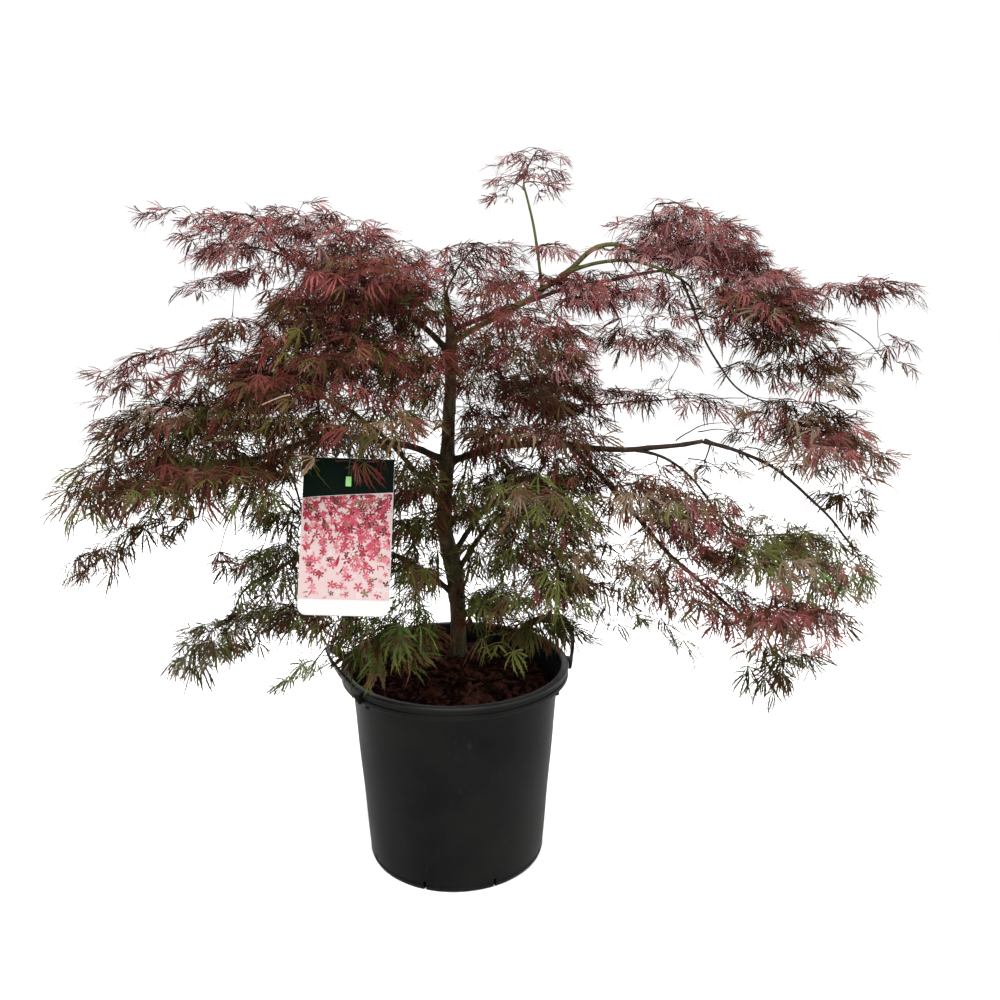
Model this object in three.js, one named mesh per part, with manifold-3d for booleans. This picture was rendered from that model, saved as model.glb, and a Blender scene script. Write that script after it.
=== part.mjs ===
// Potted japanese maple with weeping, finely cut foliage in a round nursery pot.
// Millimetres, +Z up. The origin is the centre of the pot's flat underside and
// -Y is the front. Every limb and every mass of foliage is its own closed solid,
// worked out from the named sizes below.
import * as THREE from 'three';
import { mergeVertices } from 'three/addons/utils/BufferGeometryUtils.js';
import Module from 'manifold-3d';

const wasm = await Module();
wasm.setup();
const { Manifold, Mesh } = wasm;

// ---------------------------------------------------------------- named sizes
const POT = {
  height: 250, baseRadius: 109, neckRadius: 127, rimRadius: 139.9, rimBand: 15.6,
  lipRound: 1.6, mouthRadius: 130.5, wall: 2.4, floor: 5, footRound: 4, segments: 48,
};
const GRIP = {
  bearingLeft: 194,
  bearing: 26, halfSpread: 26, reach: 11.5, lift: 36, endHeight: 15, strapHeight: 9,
  strapThick: 3.4, splay: 3, midHeight: 242.5, stations: 16,
};
const SOIL = { edgeLevel: 213, spotLevel: 235.6, spotRadius: 25, gap: 0.5, segments: 28, rings: 5 };
const GROUND = 236;                       // the trunk's flat cut
const GAP = 0.45;                         // air between neighbouring solids
const MASS_GAP = 1.6;                     // the same, between masses of foliage

// the trunk's axis: height above the origin, offset in x and y, radius
const TRUNK = {
  foot: [4.5, 50], flare: 3.2, flareHeight: 16, segments: 12,
  stations: [
    { z: 236, x: 4.5, y: 50, r: 10.6 }, { z: 250, x: 4.4, y: 50, r: 10.3 },
    { z: 281, x: 4.0, y: 50, r: 10.0 }, { z: 318, x: 3.2, y: 50, r: 10.2 },
    { z: 345, x: 0.5, y: 49, r: 11.2 }, { z: 362, x: -3, y: 48, r: 11.0 },
    { z: 400, x: -10, y: 45, r: 9.4 }, { z: 434, x: -11, y: 44, r: 9.0 },
    { z: 466, x: -9, y: 44, r: 8.9 }, { z: 496, x: -7, y: 45, r: 8.8 },
    { z: 548, x: -4.5, y: 47, r: 7.6 }, { z: 590, x: -2, y: 49, r: 6.8 },
    { z: 632, x: -1.5, y: 52, r: 6.0 }, { z: 662, x: -3, y: 55, r: 4.4 },
    { z: 690, x: -6, y: 58, r: 2.6 },
  ],
};

// One tapering limb each: from its root to its tip, how far it rises over the
// straight line between them, how far it bows sideways, and both radii.
const LIMBS = [
  { name: 'bough_right_arch_inner', from: [-7, 44, 490], to: [288, -33, 527], rise: 8, wave: 9, r: [4.6, 2.5] },
  { name: 'bough_right_arch_outer', from: [289.5, -33.3, 527], to: [481, -27, 392], rise: 26, r: [2.4, 1.3] },
  { name: 'bough_right_low', from: [143, 5, 515], to: [338, -101, 326], rise: -12, r: [2.9, 1.8] },
  { name: 'bough_right_drop', from: [214, -14, 514], to: [313, -55, 432], rise: 22, r: [1.9, 1.2] },
  { name: 'bough_top_right', from: [-2, 52, 634], to: [131, 75, 709], rise: -3, r: [4, 3.2] },
  { name: 'shoot_upper', from: [132.5, 75, 709.7], to: [237, 58, 733], rise: 27, r: [3.4, 2] },
  { name: 'shoot_lower', from: [137, 74, 714], to: [268, 25, 709], rise: 20, r: [2.4, 1.8] },
  { name: 'shoot_fall', from: [269, 24, 708], to: [358, -20, 572], rise: -34, r: [1.4, 0.9] },
  { name: 'leader_stem', from: [110, 74, 694], to: [86, 60, 815], rise: 0, bow: 6, r: [1.8, 1.3] },
  { name: 'bough_left_top', from: [-2, 52, 622], to: [-172, 58, 726], rise: 22, r: [3.8, 2.2] },
  { name: 'bough_left_dark', from: [-8, 44, 492], to: [-262, -66, 498], rise: 36, r: [4.4, 2] },
  { name: 'bough_left_low', from: [0, 50, 318], to: [-236, -52, 366], rise: 58, r: [3.8, 1.8] },
  { name: 'fork_right_low', from: [0, 49, 345], to: [60, 6, 436], rise: 6, r: [4, 2] },
  { name: 'bough_back_left', from: [-10, 45, 430], to: [-205, 232, 556], rise: 30, r: [3.3, 1.8] },
  { name: 'bough_back_right', from: [-2, 54, 648], to: [300, 208, 720], rise: 12, r: [3.2, 1.7] },
  { name: 'bough_back_low', from: [-2, 48, 372], to: [142, 236, 402], rise: 40, r: [3.8, 1.9] },
];

// Masses of foliage: the middle, half the width, half the depth and half the
// thickness, the turn about Z, how far the hem hangs under the middle, how much
// one end is higher than the other, and a longer lobe at a bearing.
const R = 'foliage_burgundy', B = 'foliage_bronze', G = 'foliage_green';
const MASSES = [
  { name: 'mass_left_top', at: [-165, 55, 744], half: [132, 100, 38], turn: 2, droop: 26, lean: -0.09, lobe: [176, 0.2], leaf: R },
  { name: 'mass_left_skirt', at: [-272, 25, 690], half: [48, 54, 24], turn: 20, droop: 14, lean: 0.1, leaf: R },
  { name: 'mass_left_shoulder', at: [-104, 0, 690], half: [112, 122, 42], turn: -12, droop: 28, lean: 0.05, leaf: R },
  { name: 'mass_left_dome', at: [-134, -66, 606], half: [132, 140, 38], turn: 10, droop: 48, lean: 0.1, leaf: R },
  { name: 'mass_left_spray', at: [-320, 5, 597], half: [94, 78, 28], turn: -8, droop: 30, lean: 0.1, lobe: [180, 0.1], leaf: R },
  { name: 'mass_left_shelf_mid', at: [-294, -60, 548], half: [104, 94, 30], turn: 6, droop: 24, lean: 0.06, leaf: B },
  { name: 'mass_left_shelf_low', at: [-284, -116, 506], half: [126, 112, 28], turn: 14, droop: 24, lean: 0.06, lobe: [184, 0.1], leaf: B },
  { name: 'mass_left_tuft', at: [-382, -60, 388], half: [60, 46, 30], turn: 0, droop: 14, lean: 0.35, leaf: B },
  { name: 'mass_front_left', at: [-84, -160, 560], half: [74, 74, 22], turn: -10, droop: 22, lean: 0, leaf: B },
  { name: 'mass_left_low_inner', at: [-212, -40, 372], half: [54, 56, 32], turn: 0, droop: 26, lean: 0.3, leaf: G },
  { name: 'mass_left_low_fall', at: [-276, -50, 291], half: [56, 48, 24], turn: 8, droop: 22, lean: 0.5, leaf: G },
  { name: 'mass_label_side', at: [-46, -30, 426], half: [34, 56, 84], turn: 0, droop: 6, lean: 0, leaf: G },
  { name: 'mass_rim_left', at: [-74, -88, 312], half: [72, 48, 28], turn: 6, droop: 20, lean: 0.05, leaf: G },
  { name: 'mass_ridge', at: [30, 112, 708], half: [88, 66, 42], turn: -6, droop: 20, lean: -0.02, leaf: R },
  { name: 'mass_centre_red', at: [88, -42, 640], half: [94, 82, 34], turn: 6, droop: 24, lean: -0.14, leaf: R },
  { name: 'mass_centre_brown', at: [100, 38, 558], half: [92, 88, 30], turn: -8, droop: 18, lean: 0.02, leaf: B },
  { name: 'mass_centre_fall', at: [106, -48, 416], half: [76, 82, 76], turn: 12, droop: 34, lean: -0.1, leaf: G },
  { name: 'mass_rim_right', at: [100, -18, 292], half: [54, 50, 24], turn: -14, droop: 16, lean: 0, leaf: G },
  { name: 'mass_leader', at: [92, 58, 822], half: [52, 44, 34], turn: 10, droop: 12, lean: 0.2, leaf: R },
  { name: 'mass_shoulder_red', at: [152, 14, 686], half: [58, 56, 28], turn: 12, droop: 16, lean: 0.04, leaf: R },
  { name: 'mass_right_top', at: [282, 66, 748], half: [110, 98, 38], turn: -6, droop: 30, lean: -0.12, leaf: R },
  { name: 'mass_right_outer', at: [356, 24, 680], half: [102, 100, 40], turn: -12, droop: 42, lean: -0.26, leaf: R },
  { name: 'mass_right_star', at: [500, 30, 686], half: [64, 40, 24], turn: 4, droop: 10, lean: -0.12, leaf: R },
  { name: 'mass_right_thread', at: [518, 18, 600], half: [34, 30, 46], turn: 0, droop: 8, lean: -0.7, leaf: B },
  { name: 'mass_right_inner', at: [232, 16, 616], half: [82, 62, 28], turn: 14, droop: 30, lean: -0.12, leaf: B },
  { name: 'mass_right_cascade_up', at: [404, 16, 600], half: [80, 84, 42], turn: -10, droop: 36, lean: -0.16, leaf: B },
  { name: 'mass_right_cascade_low', at: [434, -30, 510], half: [86, 92, 28], turn: -8, droop: 34, lean: -0.18, leaf: B },
  { name: 'mass_right_low_upper', at: [256, -58, 440], half: [94, 82, 36], turn: 8, droop: 36, lean: -0.28, leaf: B },
  { name: 'mass_right_green', at: [396, -64, 386], half: [104, 92, 28], turn: -6, droop: 32, lean: -0.1, leaf: G },
  { name: 'mass_right_low_red', at: [360, -130, 338], half: [94, 84, 20], turn: 6, droop: 20, lean: -0.06, leaf: R },
  { name: 'mass_right_tuft', at: [371, -90, 262], half: [44, 42, 26], turn: 0, droop: 12, lean: 0, leaf: G },
  { name: 'mass_right_stray', at: [226, -60, 302], half: [52, 28, 18], turn: 0, droop: 12, lean: -0.5, leaf: G },
  { name: 'mass_back_left_high', at: [-160, 232, 640], half: [112, 104, 34], turn: 24, droop: 46, lean: 0.08, leaf: R },
  { name: 'mass_back_left_low', at: [-188, 226, 462], half: [122, 104, 26], turn: 18, droop: 44, lean: 0.14, leaf: B },
  { name: 'mass_back_middle', at: [92, 262, 566], half: [126, 92, 36], turn: -6, droop: 44, lean: -0.06, leaf: B },
  { name: 'mass_back_middle_low', at: [112, 236, 372], half: [92, 78, 30], turn: -18, droop: 34, lean: -0.1, leaf: G },
  { name: 'mass_back_right_high', at: [352, 218, 716], half: [112, 96, 28], turn: -18, droop: 40, lean: -0.2, leaf: R },
  { name: 'mass_back_right_low', at: [446, 188, 342], half: [98, 84, 28], turn: -14, droop: 40, lean: -0.3, leaf: G },
];
const MASS_SHAPE = { around: 11, levels: 6, uneven: 0.15, bumps: 0.16 };

// a plain hanging card on a strap, below the front left mass; its foot swings forward
const LABEL = {
  width: 92, height: 160, thick: 1.6, corner: 9, hole: 3, at: [-109, -172, 456],
  pitch: -19, roll: 2.4, strapLift: 30, strapWidth: 5, strapThick: 1.6, clear: 4,
};

// ------------------------------------------------------------------- materials
const COLOURS = {
  pot: [0x2a2c2e, 0.5], soil: [0x24120d, 0.95], bark: [0x3f3420, 0.85], card: [0x1d2a20, 0.5],
  foliage_burgundy: [0x5a2f28, 0.7], foliage_bronze: [0x4a3a28, 0.7], foliage_green: [0x46502a, 0.7],
};
const materialOf = (key) => new THREE.MeshStandardMaterial({
  color: COLOURS[key][0], roughness: COLOURS[key][1], metalness: 0,
});

// --------------------------------------------------------------------- helpers
const group = new THREE.Group();
const radians = THREE.MathUtils.degToRad;
const mix = THREE.MathUtils.lerp;

function weld(geometry) {
  geometry.deleteAttribute('normal');
  geometry.deleteAttribute('uv');
  return mergeVertices(geometry, 1e-3);
}
function solidOf(geometry) {
  const g = weld(geometry.clone());
  return new Manifold(new Mesh({
    numProp: 3,
    vertProperties: new Float32Array(g.attributes.position.array),
    triVerts: new Uint32Array(g.index.array),
  }));
}
function geometryOf(solid) {
  const m = solid.getMesh();
  const xyz = new Float32Array(m.numVert * 3);
  for (let i = 0; i < m.numVert; i += 1) {
    for (let k = 0; k < 3; k += 1) xyz[i * 3 + k] = m.vertProperties[i * m.numProp + k];
  }
  const g = new THREE.BufferGeometry();
  g.setAttribute('position', new THREE.BufferAttribute(xyz, 3));
  g.setIndex(new THREE.BufferAttribute(new Uint32Array(m.triVerts), 1));
  g.computeVertexNormals();
  return g;
}
function place(name, geometry, key) {
  const mesh = new THREE.Mesh(geometry, materialOf(key));
  mesh.name = name;
  group.add(mesh);
}
// a closed skin over a stack of rings of equally many points, wound outward
function skin(rings) {
  const n = rings[0].length;
  const xyz = [];
  const tri = [];
  for (const ring of rings) for (const p of ring) xyz.push(p.x, p.y, p.z);
  const cap = (ring, flip) => {
    const mid = ring.reduce((a, p) => a.add(p), new THREE.Vector3()).multiplyScalar(1 / n);
    const c = xyz.length / 3;
    xyz.push(mid.x, mid.y, mid.z);
    const base = rings.indexOf(ring) * n;
    for (let i = 0; i < n; i += 1) {
      const j = (i + 1) % n;
      if (flip) tri.push(c, base + j, base + i); else tri.push(c, base + i, base + j);
    }
  };
  for (let k = 0; k + 1 < rings.length; k += 1) {
    for (let i = 0; i < n; i += 1) {
      const j = (i + 1) % n;
      const a = k * n + i, b = k * n + j, c = (k + 1) * n + j, d = (k + 1) * n + i;
      tri.push(a, b, c, a, c, d);
    }
  }
  cap(rings[0], true);
  cap(rings[rings.length - 1], false);
  const g = new THREE.BufferGeometry();
  g.setAttribute('position', new THREE.Float32BufferAttribute(xyz, 3));
  g.setIndex(tri);
  return g;
}
// a round tube of changing radius along a list of points
function taper(points, radii, segments, flatFoot = false) {
  const curve = new THREE.CatmullRomCurve3(points);
  const rings = points.map((p, k) => {
    const t = k / (points.length - 1);
    const along = (flatFoot && k === 0) ? new THREE.Vector3(0, 0, 1) : curve.getTangent(t);
    const side = new THREE.Vector3(0, 1, 0).addScaledVector(along, -along.y).normalize();
    if (side.lengthSq() < 0.5) side.set(1, 0, 0);
    const other = new THREE.Vector3().crossVectors(along, side);
    return Array.from({ length: segments }, (_, i) => {
      const a = (2 * Math.PI * i) / segments;
      return p.clone().addScaledVector(side, radii[k] * Math.cos(a)).addScaledVector(other, radii[k] * Math.sin(a));
    });
  });
  return skin(rings);
}
const keepLargest = (solid) => {
  const pieces = solid.decompose();
  pieces.sort((a, b) => b.volume() - a.volume());
  return pieces[0];
};
// the piece that reaches nearest to a point
const keepNearest = (solid, point) => {
  let best = null, bestD = Infinity;
  for (const piece of solid.decompose()) {
    if (piece.volume() < 30) continue;
    const m = piece.getMesh();
    for (let i = 0; i < m.numVert; i += 1) {
      const v = m.vertProperties, o = i * m.numProp;
      const d = Math.hypot(v[o] - point[0], v[o + 1] - point[1], v[o + 2] - point[2]);
      if (d < bestD) { bestD = d; best = piece; }
    }
  }
  return best;
};

// ------------------------------------------------------------------------- pot
{
  const p = POT;
  const outline = [
    [0, 0], [p.baseRadius - p.footRound, 0], [p.baseRadius - 1, 1.2], [p.baseRadius + 0.2, p.footRound],
    [p.neckRadius - 0.2, p.height - p.rimBand - 2], [p.neckRadius + 0.4, p.height - p.rimBand],
    [p.rimRadius - 2.4, p.height - p.rimBand], [p.rimRadius - 0.8, p.height - p.rimBand + 1.6],
    [p.rimRadius, p.height - p.lipRound * 1.6], [p.rimRadius - p.lipRound, p.height],
    [p.mouthRadius + p.lipRound, p.height], [p.mouthRadius, p.height - p.lipRound],
    [p.neckRadius - p.wall, p.height - p.rimBand - 4], [p.baseRadius - p.wall, p.floor], [0, p.floor],
  ].map(([r, z]) => new THREE.Vector2(r, z));
  const g = new THREE.LatheGeometry(outline, p.segments);
  g.rotateX(Math.PI / 2);
  let solid = solidOf(g);
  if (solid.volume() < 0) solid = solidOf(g.scale(1, -1, 1));
  place('pot', geometryOf(solid), 'pot');
}

// ---------------------------------------------------------------------- grips
// A strap that leaves the rim, swings out and up, and comes back to the rim.
function grip(bearing) {
  const g = GRIP;
  const rings = [];
  for (let k = 0; k <= g.stations; k += 1) {
    const s = k / g.stations;
    const arch = Math.sin(Math.PI * s) ** 0.75;
    const angle = radians(bearing + mix(-g.halfSpread, g.halfSpread, s));
    const inner = POT.rimRadius + GAP + g.reach * arch;
    const low = g.midHeight - g.endHeight / 2 + g.lift * arch;
    const high = low + mix(g.endHeight, g.strapHeight, arch);
    const at = (radius, z) => new THREE.Vector3(radius * Math.cos(angle), radius * Math.sin(angle), z);
    rings.push([
      at(inner, low), at(inner + g.strapThick, low),
      at(inner + g.strapThick + g.splay * arch, high), at(inner + g.splay * arch, high),
    ]);
  }
  let solid = solidOf(skin(rings));
  if (solid.volume() < 0) solid = solidOf(skin(rings.map((r) => [...r].reverse())));
  return solid;
}
const rightGrip = grip(GRIP.bearing);
place('grip_right', geometryOf(rightGrip), 'pot');
place('grip_left', geometryOf(grip(GRIP.bearingLeft)), 'pot');

// ------------------------------------------------------------------------ soil
{
  const s = SOIL;
  const innerRadius = (z) => mix(POT.baseRadius, POT.neckRadius, z / (POT.height - POT.rimBand)) - POT.wall - s.gap;
  const ringAt = (cx, cy, r, z) => Array.from({ length: s.segments }, (_, i) => {
    const a = (2 * Math.PI * i) / s.segments;
    return new THREE.Vector3(cx + r * Math.cos(a), cy + r * Math.sin(a), z);
  });
  const rings = [];
  rings.push(ringAt(0, 0, innerRadius(0) - 0.6, POT.floor + s.gap));
  rings.push(ringAt(0, 0, innerRadius(s.edgeLevel - 4) - 0.4, s.edgeLevel - 4));
  for (let k = s.rings; k >= 0; k -= 1) {
    const t = k / s.rings;
    const level = mix(s.spotLevel, s.edgeLevel, Math.sin((Math.PI / 2) * Math.min(1, t * 1.02)));
    const r = mix(s.spotRadius, innerRadius(s.edgeLevel) - 1.2, t);
    rings.push(ringAt(TRUNK.foot[0] * (1 - t), TRUNK.foot[1] * (1 - t), r, level));
  }
  place('soil', geometryOf(solidOf(skin(rings))), 'soil');
}

// ----------------------------------------------------------------------- trunk
function trunkSkin(extra) {
  const st = TRUNK.stations;
  const points = st.map((p) => new THREE.Vector3(p.x, p.y, p.z));
  const radii = st.map((p) => p.r + extra + TRUNK.flare * Math.max(0, 1 - (p.z - GROUND) / TRUNK.flareHeight) ** 2);
  return taper(points, radii, TRUNK.segments, true);
}
place('trunk', geometryOf(solidOf(trunkSkin(0))), 'bark');
const trunkClear = solidOf(trunkSkin(GAP + 0.35));

// ---------------------------------------------------------------------- masses
const wobble = (seed, k) => {
  const v = Math.sin(seed * 12.9898 + k * 78.233) * 43758.5453;
  return 2 * Math.PI * (v - Math.floor(v));
};
function massSkin(m, index, extra) {
  const { around, levels, uneven, bumps } = MASS_SHAPE;
  const [a, b, t] = m.half.map((v) => v + extra);
  const turn = radians(m.turn);
  const rings = [];
  const hem = m.droop / 2;
  for (let k = 1; k < levels; k += 1) {
    const tilt = mix(-Math.PI / 2, Math.PI / 2, k / levels);
    rings.push(Array.from({ length: around }, (_, i) => {
      const phi = (2 * Math.PI * i) / around;
      const flat = Math.cos(tilt);
      let swell = 1 + uneven * (0.5 * Math.sin(2 * phi + wobble(index, 1)) + 0.35 * Math.sin(3 * phi + wobble(index, 2))
        + 0.3 * Math.sin(5 * phi + wobble(index, 3)));
      if (m.lobe) {
        const off = Math.atan2(Math.sin(phi - radians(m.lobe[0])), Math.cos(phi - radians(m.lobe[0])));
        swell += m.lobe[1] * Math.exp(-((off / 0.42) ** 2));
      }
      const x = a * flat * Math.cos(phi) * swell;
      const y = b * flat * Math.sin(phi) * swell;
      const lift = t * Math.sin(tilt) * (1 + bumps * Math.sin(2 * phi + wobble(index, 4) + k));
      const reach = flat * flat * swell;
      const z = lift + hem - m.droop * Math.min(1.35, reach) + m.lean * x;
      return new THREE.Vector3(
        m.at[0] + x * Math.cos(turn) - y * Math.sin(turn),
        m.at[1] + x * Math.sin(turn) + y * Math.cos(turn),
        m.at[2] + z,
      );
    }));
  }
  const g = skin(rings);
  // the two end caps rise to the poles
  const pos = g.attributes.position;
  const last = pos.count - 1;
  pos.setXYZ(last - 1, m.at[0], m.at[1], m.at[2] + hem - t);
  pos.setXYZ(last, m.at[0], m.at[1], m.at[2] + hem + t);
  return g;
}
const cutters = MASSES.map((m, i) => solidOf(massSkin(m, i, MASS_GAP)));

// --------------------------------------------------------------------- the card
const hang = (g) => {
  g.rotateX(Math.PI / 2);
  g.rotateY(radians(LABEL.roll));
  g.rotateX(radians(LABEL.pitch));
  return g.translate(...LABEL.at);
};
const card = (() => {
  const l = LABEL;
  const w = l.width / 2, h = l.height / 2, c = l.corner;
  const outline = new THREE.Shape();
  outline.moveTo(-w, h).lineTo(-w, -h + c).absarc(-w + c, -h + c, c, Math.PI, 1.5 * Math.PI, false);
  outline.lineTo(w - c, -h).absarc(w - c, -h + c, c, 1.5 * Math.PI, 2 * Math.PI, false).lineTo(w, h).lineTo(-w, h);
  const hole = new THREE.Path();
  hole.absarc(0, h - 16, l.hole, 0, 2 * Math.PI, true);
  outline.holes.push(hole);
  const flat = new THREE.ExtrudeGeometry(outline, { depth: l.thick, bevelEnabled: false, curveSegments: 5 });
  const strap = new THREE.BoxGeometry(l.strapWidth, l.strapLift + 8, l.strapThick);
  strap.translate(0, h + l.strapLift / 2 - 4, l.thick + l.strapThick / 2 - 0.2);
  return solidOf(hang(geometryOf(solidOf(flat).add(solidOf(strap)))));
})();
const cardClear = (() => {
  const l = LABEL;
  const s = new THREE.BoxGeometry(l.strapWidth + l.clear, l.height + 2 * l.strapLift + l.clear, 2 * l.clear);
  const flat = new THREE.BoxGeometry(l.width + l.clear, l.height + l.clear, 2 * l.clear);
  return solidOf(hang(flat)).add(solidOf(hang(s)));
})();
place('label_card', geometryOf(card), 'card');

MASSES.forEach((m, i) => {
  let solid = solidOf(massSkin(m, i, 0)).subtract(trunkClear).subtract(cardClear);
  for (let j = 0; j < i; j += 1) solid = solid.subtract(cutters[j]);
  place(m.name, geometryOf(keepLargest(solid)), m.leaf);
});

// ----------------------------------------------------------------------- limbs
function limbSkin(l, extra) {
  const stations = 9;
  const from = new THREE.Vector3(...l.from), to = new THREE.Vector3(...l.to);
  const chord = to.clone().sub(from);
  const sideways = new THREE.Vector3(-chord.y, chord.x, 0).normalize();
  if (sideways.lengthSq() < 0.5) sideways.set(1, 0, 0);
  const points = [], radii = [];
  for (let k = 0; k < stations; k += 1) {
    const s = k / (stations - 1);
    const p = from.clone().lerp(to, s);
    p.z += l.rise * Math.sin(Math.PI * s) + (l.wave || 0) * Math.sin(2 * Math.PI * s);
    p.addScaledVector(sideways, (l.bow || 0) * Math.sin(Math.PI * s));
    points.push(p);
    radii.push(mix(l.r[0], l.r[1], s) + extra);
  }
  return taper(points, radii, 7);
}
const limbClear = LIMBS.map((l) => solidOf(limbSkin(l, GAP)));
LIMBS.forEach((l, i) => {
  let solid = solidOf(limbSkin(l, 0)).subtract(trunkClear);
  for (let j = 0; j < i; j += 1) solid = solid.subtract(limbClear[j]);
  for (const c of cutters) solid = solid.subtract(c);
  place(l.name, geometryOf(keepNearest(solid, l.from)), 'bark');
});

export default group;
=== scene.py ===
"""Potted weeping maple: the looks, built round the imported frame.

Sizes are millimetres in the tables and metres in the scene. Limbs, twigs and
leaves grow by a seeded rule from the limbs' named sizes into the masses' named
sizes, and are joined into a few meshes.
"""
import math

import bpy
import numpy as np
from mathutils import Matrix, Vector, noise


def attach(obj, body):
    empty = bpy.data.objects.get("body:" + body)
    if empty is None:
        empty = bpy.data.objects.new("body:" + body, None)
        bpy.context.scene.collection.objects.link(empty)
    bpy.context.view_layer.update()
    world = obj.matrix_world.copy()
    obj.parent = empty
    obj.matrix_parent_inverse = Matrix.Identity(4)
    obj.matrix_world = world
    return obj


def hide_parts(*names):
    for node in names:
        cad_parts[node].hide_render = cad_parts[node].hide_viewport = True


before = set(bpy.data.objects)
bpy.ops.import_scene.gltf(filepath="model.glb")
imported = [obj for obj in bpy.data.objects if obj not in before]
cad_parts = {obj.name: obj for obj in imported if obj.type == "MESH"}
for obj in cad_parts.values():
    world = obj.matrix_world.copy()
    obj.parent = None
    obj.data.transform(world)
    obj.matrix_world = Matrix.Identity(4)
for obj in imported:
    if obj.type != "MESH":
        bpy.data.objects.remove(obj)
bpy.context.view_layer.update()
MM = 0.001
rng = np.random.default_rng(20)

# ------------------------------------------------------------------ named sizes
POT = dict(height=250, base=109, neck=127, rim=139.9, band=15.6, mouth=130.5, wall=2.4, floor=5)
GRIP = dict(bearing=26, left=194, spread=26, reach=11.5, lift=36, end=15, height=9, thick=3.4, splay=3, mid=242.5)
PEGS = (7, 33)           # bearing of their middle, and how far to each side
SOIL = dict(edge=213, spot=235.6, spot_radius=25)
FOOT = (4.5, 50.0)
GROUND = 236
TRUNK = [  # height, x, y, radius
    (236, 4.5, 50, 10.6), (250, 4.4, 50, 10.3), (281, 4.0, 50, 10.0), (318, 3.2, 50, 10.2),
    (345, 0.5, 49, 11.2), (362, -3, 48, 11.0), (400, -10, 45, 9.4), (434, -11, 44, 9.0),
    (466, -9, 44, 8.9), (496, -7, 45, 8.8), (548, -4.5, 47, 7.6), (590, -2, 49, 6.8),
    (632, -1.5, 52, 6.0), (662, -3, 55, 4.4), (690, -6, 58, 2.6)]
FLARE, FLARE_HEIGHT = 3.2, 16

LIMBS = {  # root, tip, rise, wave, bow, radii, skin
    "bough_right_arch_inner": ((-7, 44, 490), (288, -33, 527), 8, 9, 0, (4.6, 2.5), "brown"),
    "bough_right_arch_outer": ((289.5, -33.3, 527), (481, -27, 392), 26, 0, 0, (2.4, 1.3), "brown"),
    "bough_right_low": ((143, 5, 515), (338, -101, 326), -12, 0, 0, (2.9, 1.8), "brown"),
    "bough_right_drop": ((214, -14, 514), (313, -55, 432), 22, 0, 0, (1.9, 1.2), "brown"),
    "bough_top_right": ((-2, 52, 634), (131, 75, 709), -3, 0, 0, (4, 3.2), "green"),
    "shoot_upper": ((132.5, 75, 709.7), (237, 58, 733), 27, 0, 0, (3.4, 2), "green"),
    "shoot_lower": ((137, 74, 714), (268, 25, 709), 20, 0, 0, (2.4, 1.8), "green"),
    "shoot_fall": ((269, 24, 708), (358, -20, 572), -34, 0, 0, (1.4, 0.9), "brown"),
    "leader_stem": ((110, 74, 694), (86, 60, 815), 0, 0, 6, (1.8, 1.3), "green"),
    "bough_left_top": ((-2, 52, 622), (-172, 58, 726), 22, 0, 0, (3.8, 2.2), "brown"),
    "bough_left_dark": ((-8, 44, 492), (-262, -66, 498), 36, 0, 0, (4.4, 2), "brown"),
    "bough_left_low": ((0, 50, 318), (-236, -52, 366), 58, 0, 0, (3.8, 1.8), "brown"),
    "fork_right_low": ((0, 49, 345), (60, 6, 436), 6, 0, 0, (4, 2), "brown"),
    "bough_back_left": ((-10, 45, 430), (-205, 232, 556), 30, 0, 0, (3.3, 1.8), "brown"),
    "bough_back_right": ((-2, 54, 648), (300, 208, 720), 12, 0, 0, (3.2, 1.7), "brown"),
    "bough_back_low": ((-2, 48, 372), (142, 236, 402), 40, 0, 0, (3.8, 1.9), "brown"),
}

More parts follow.
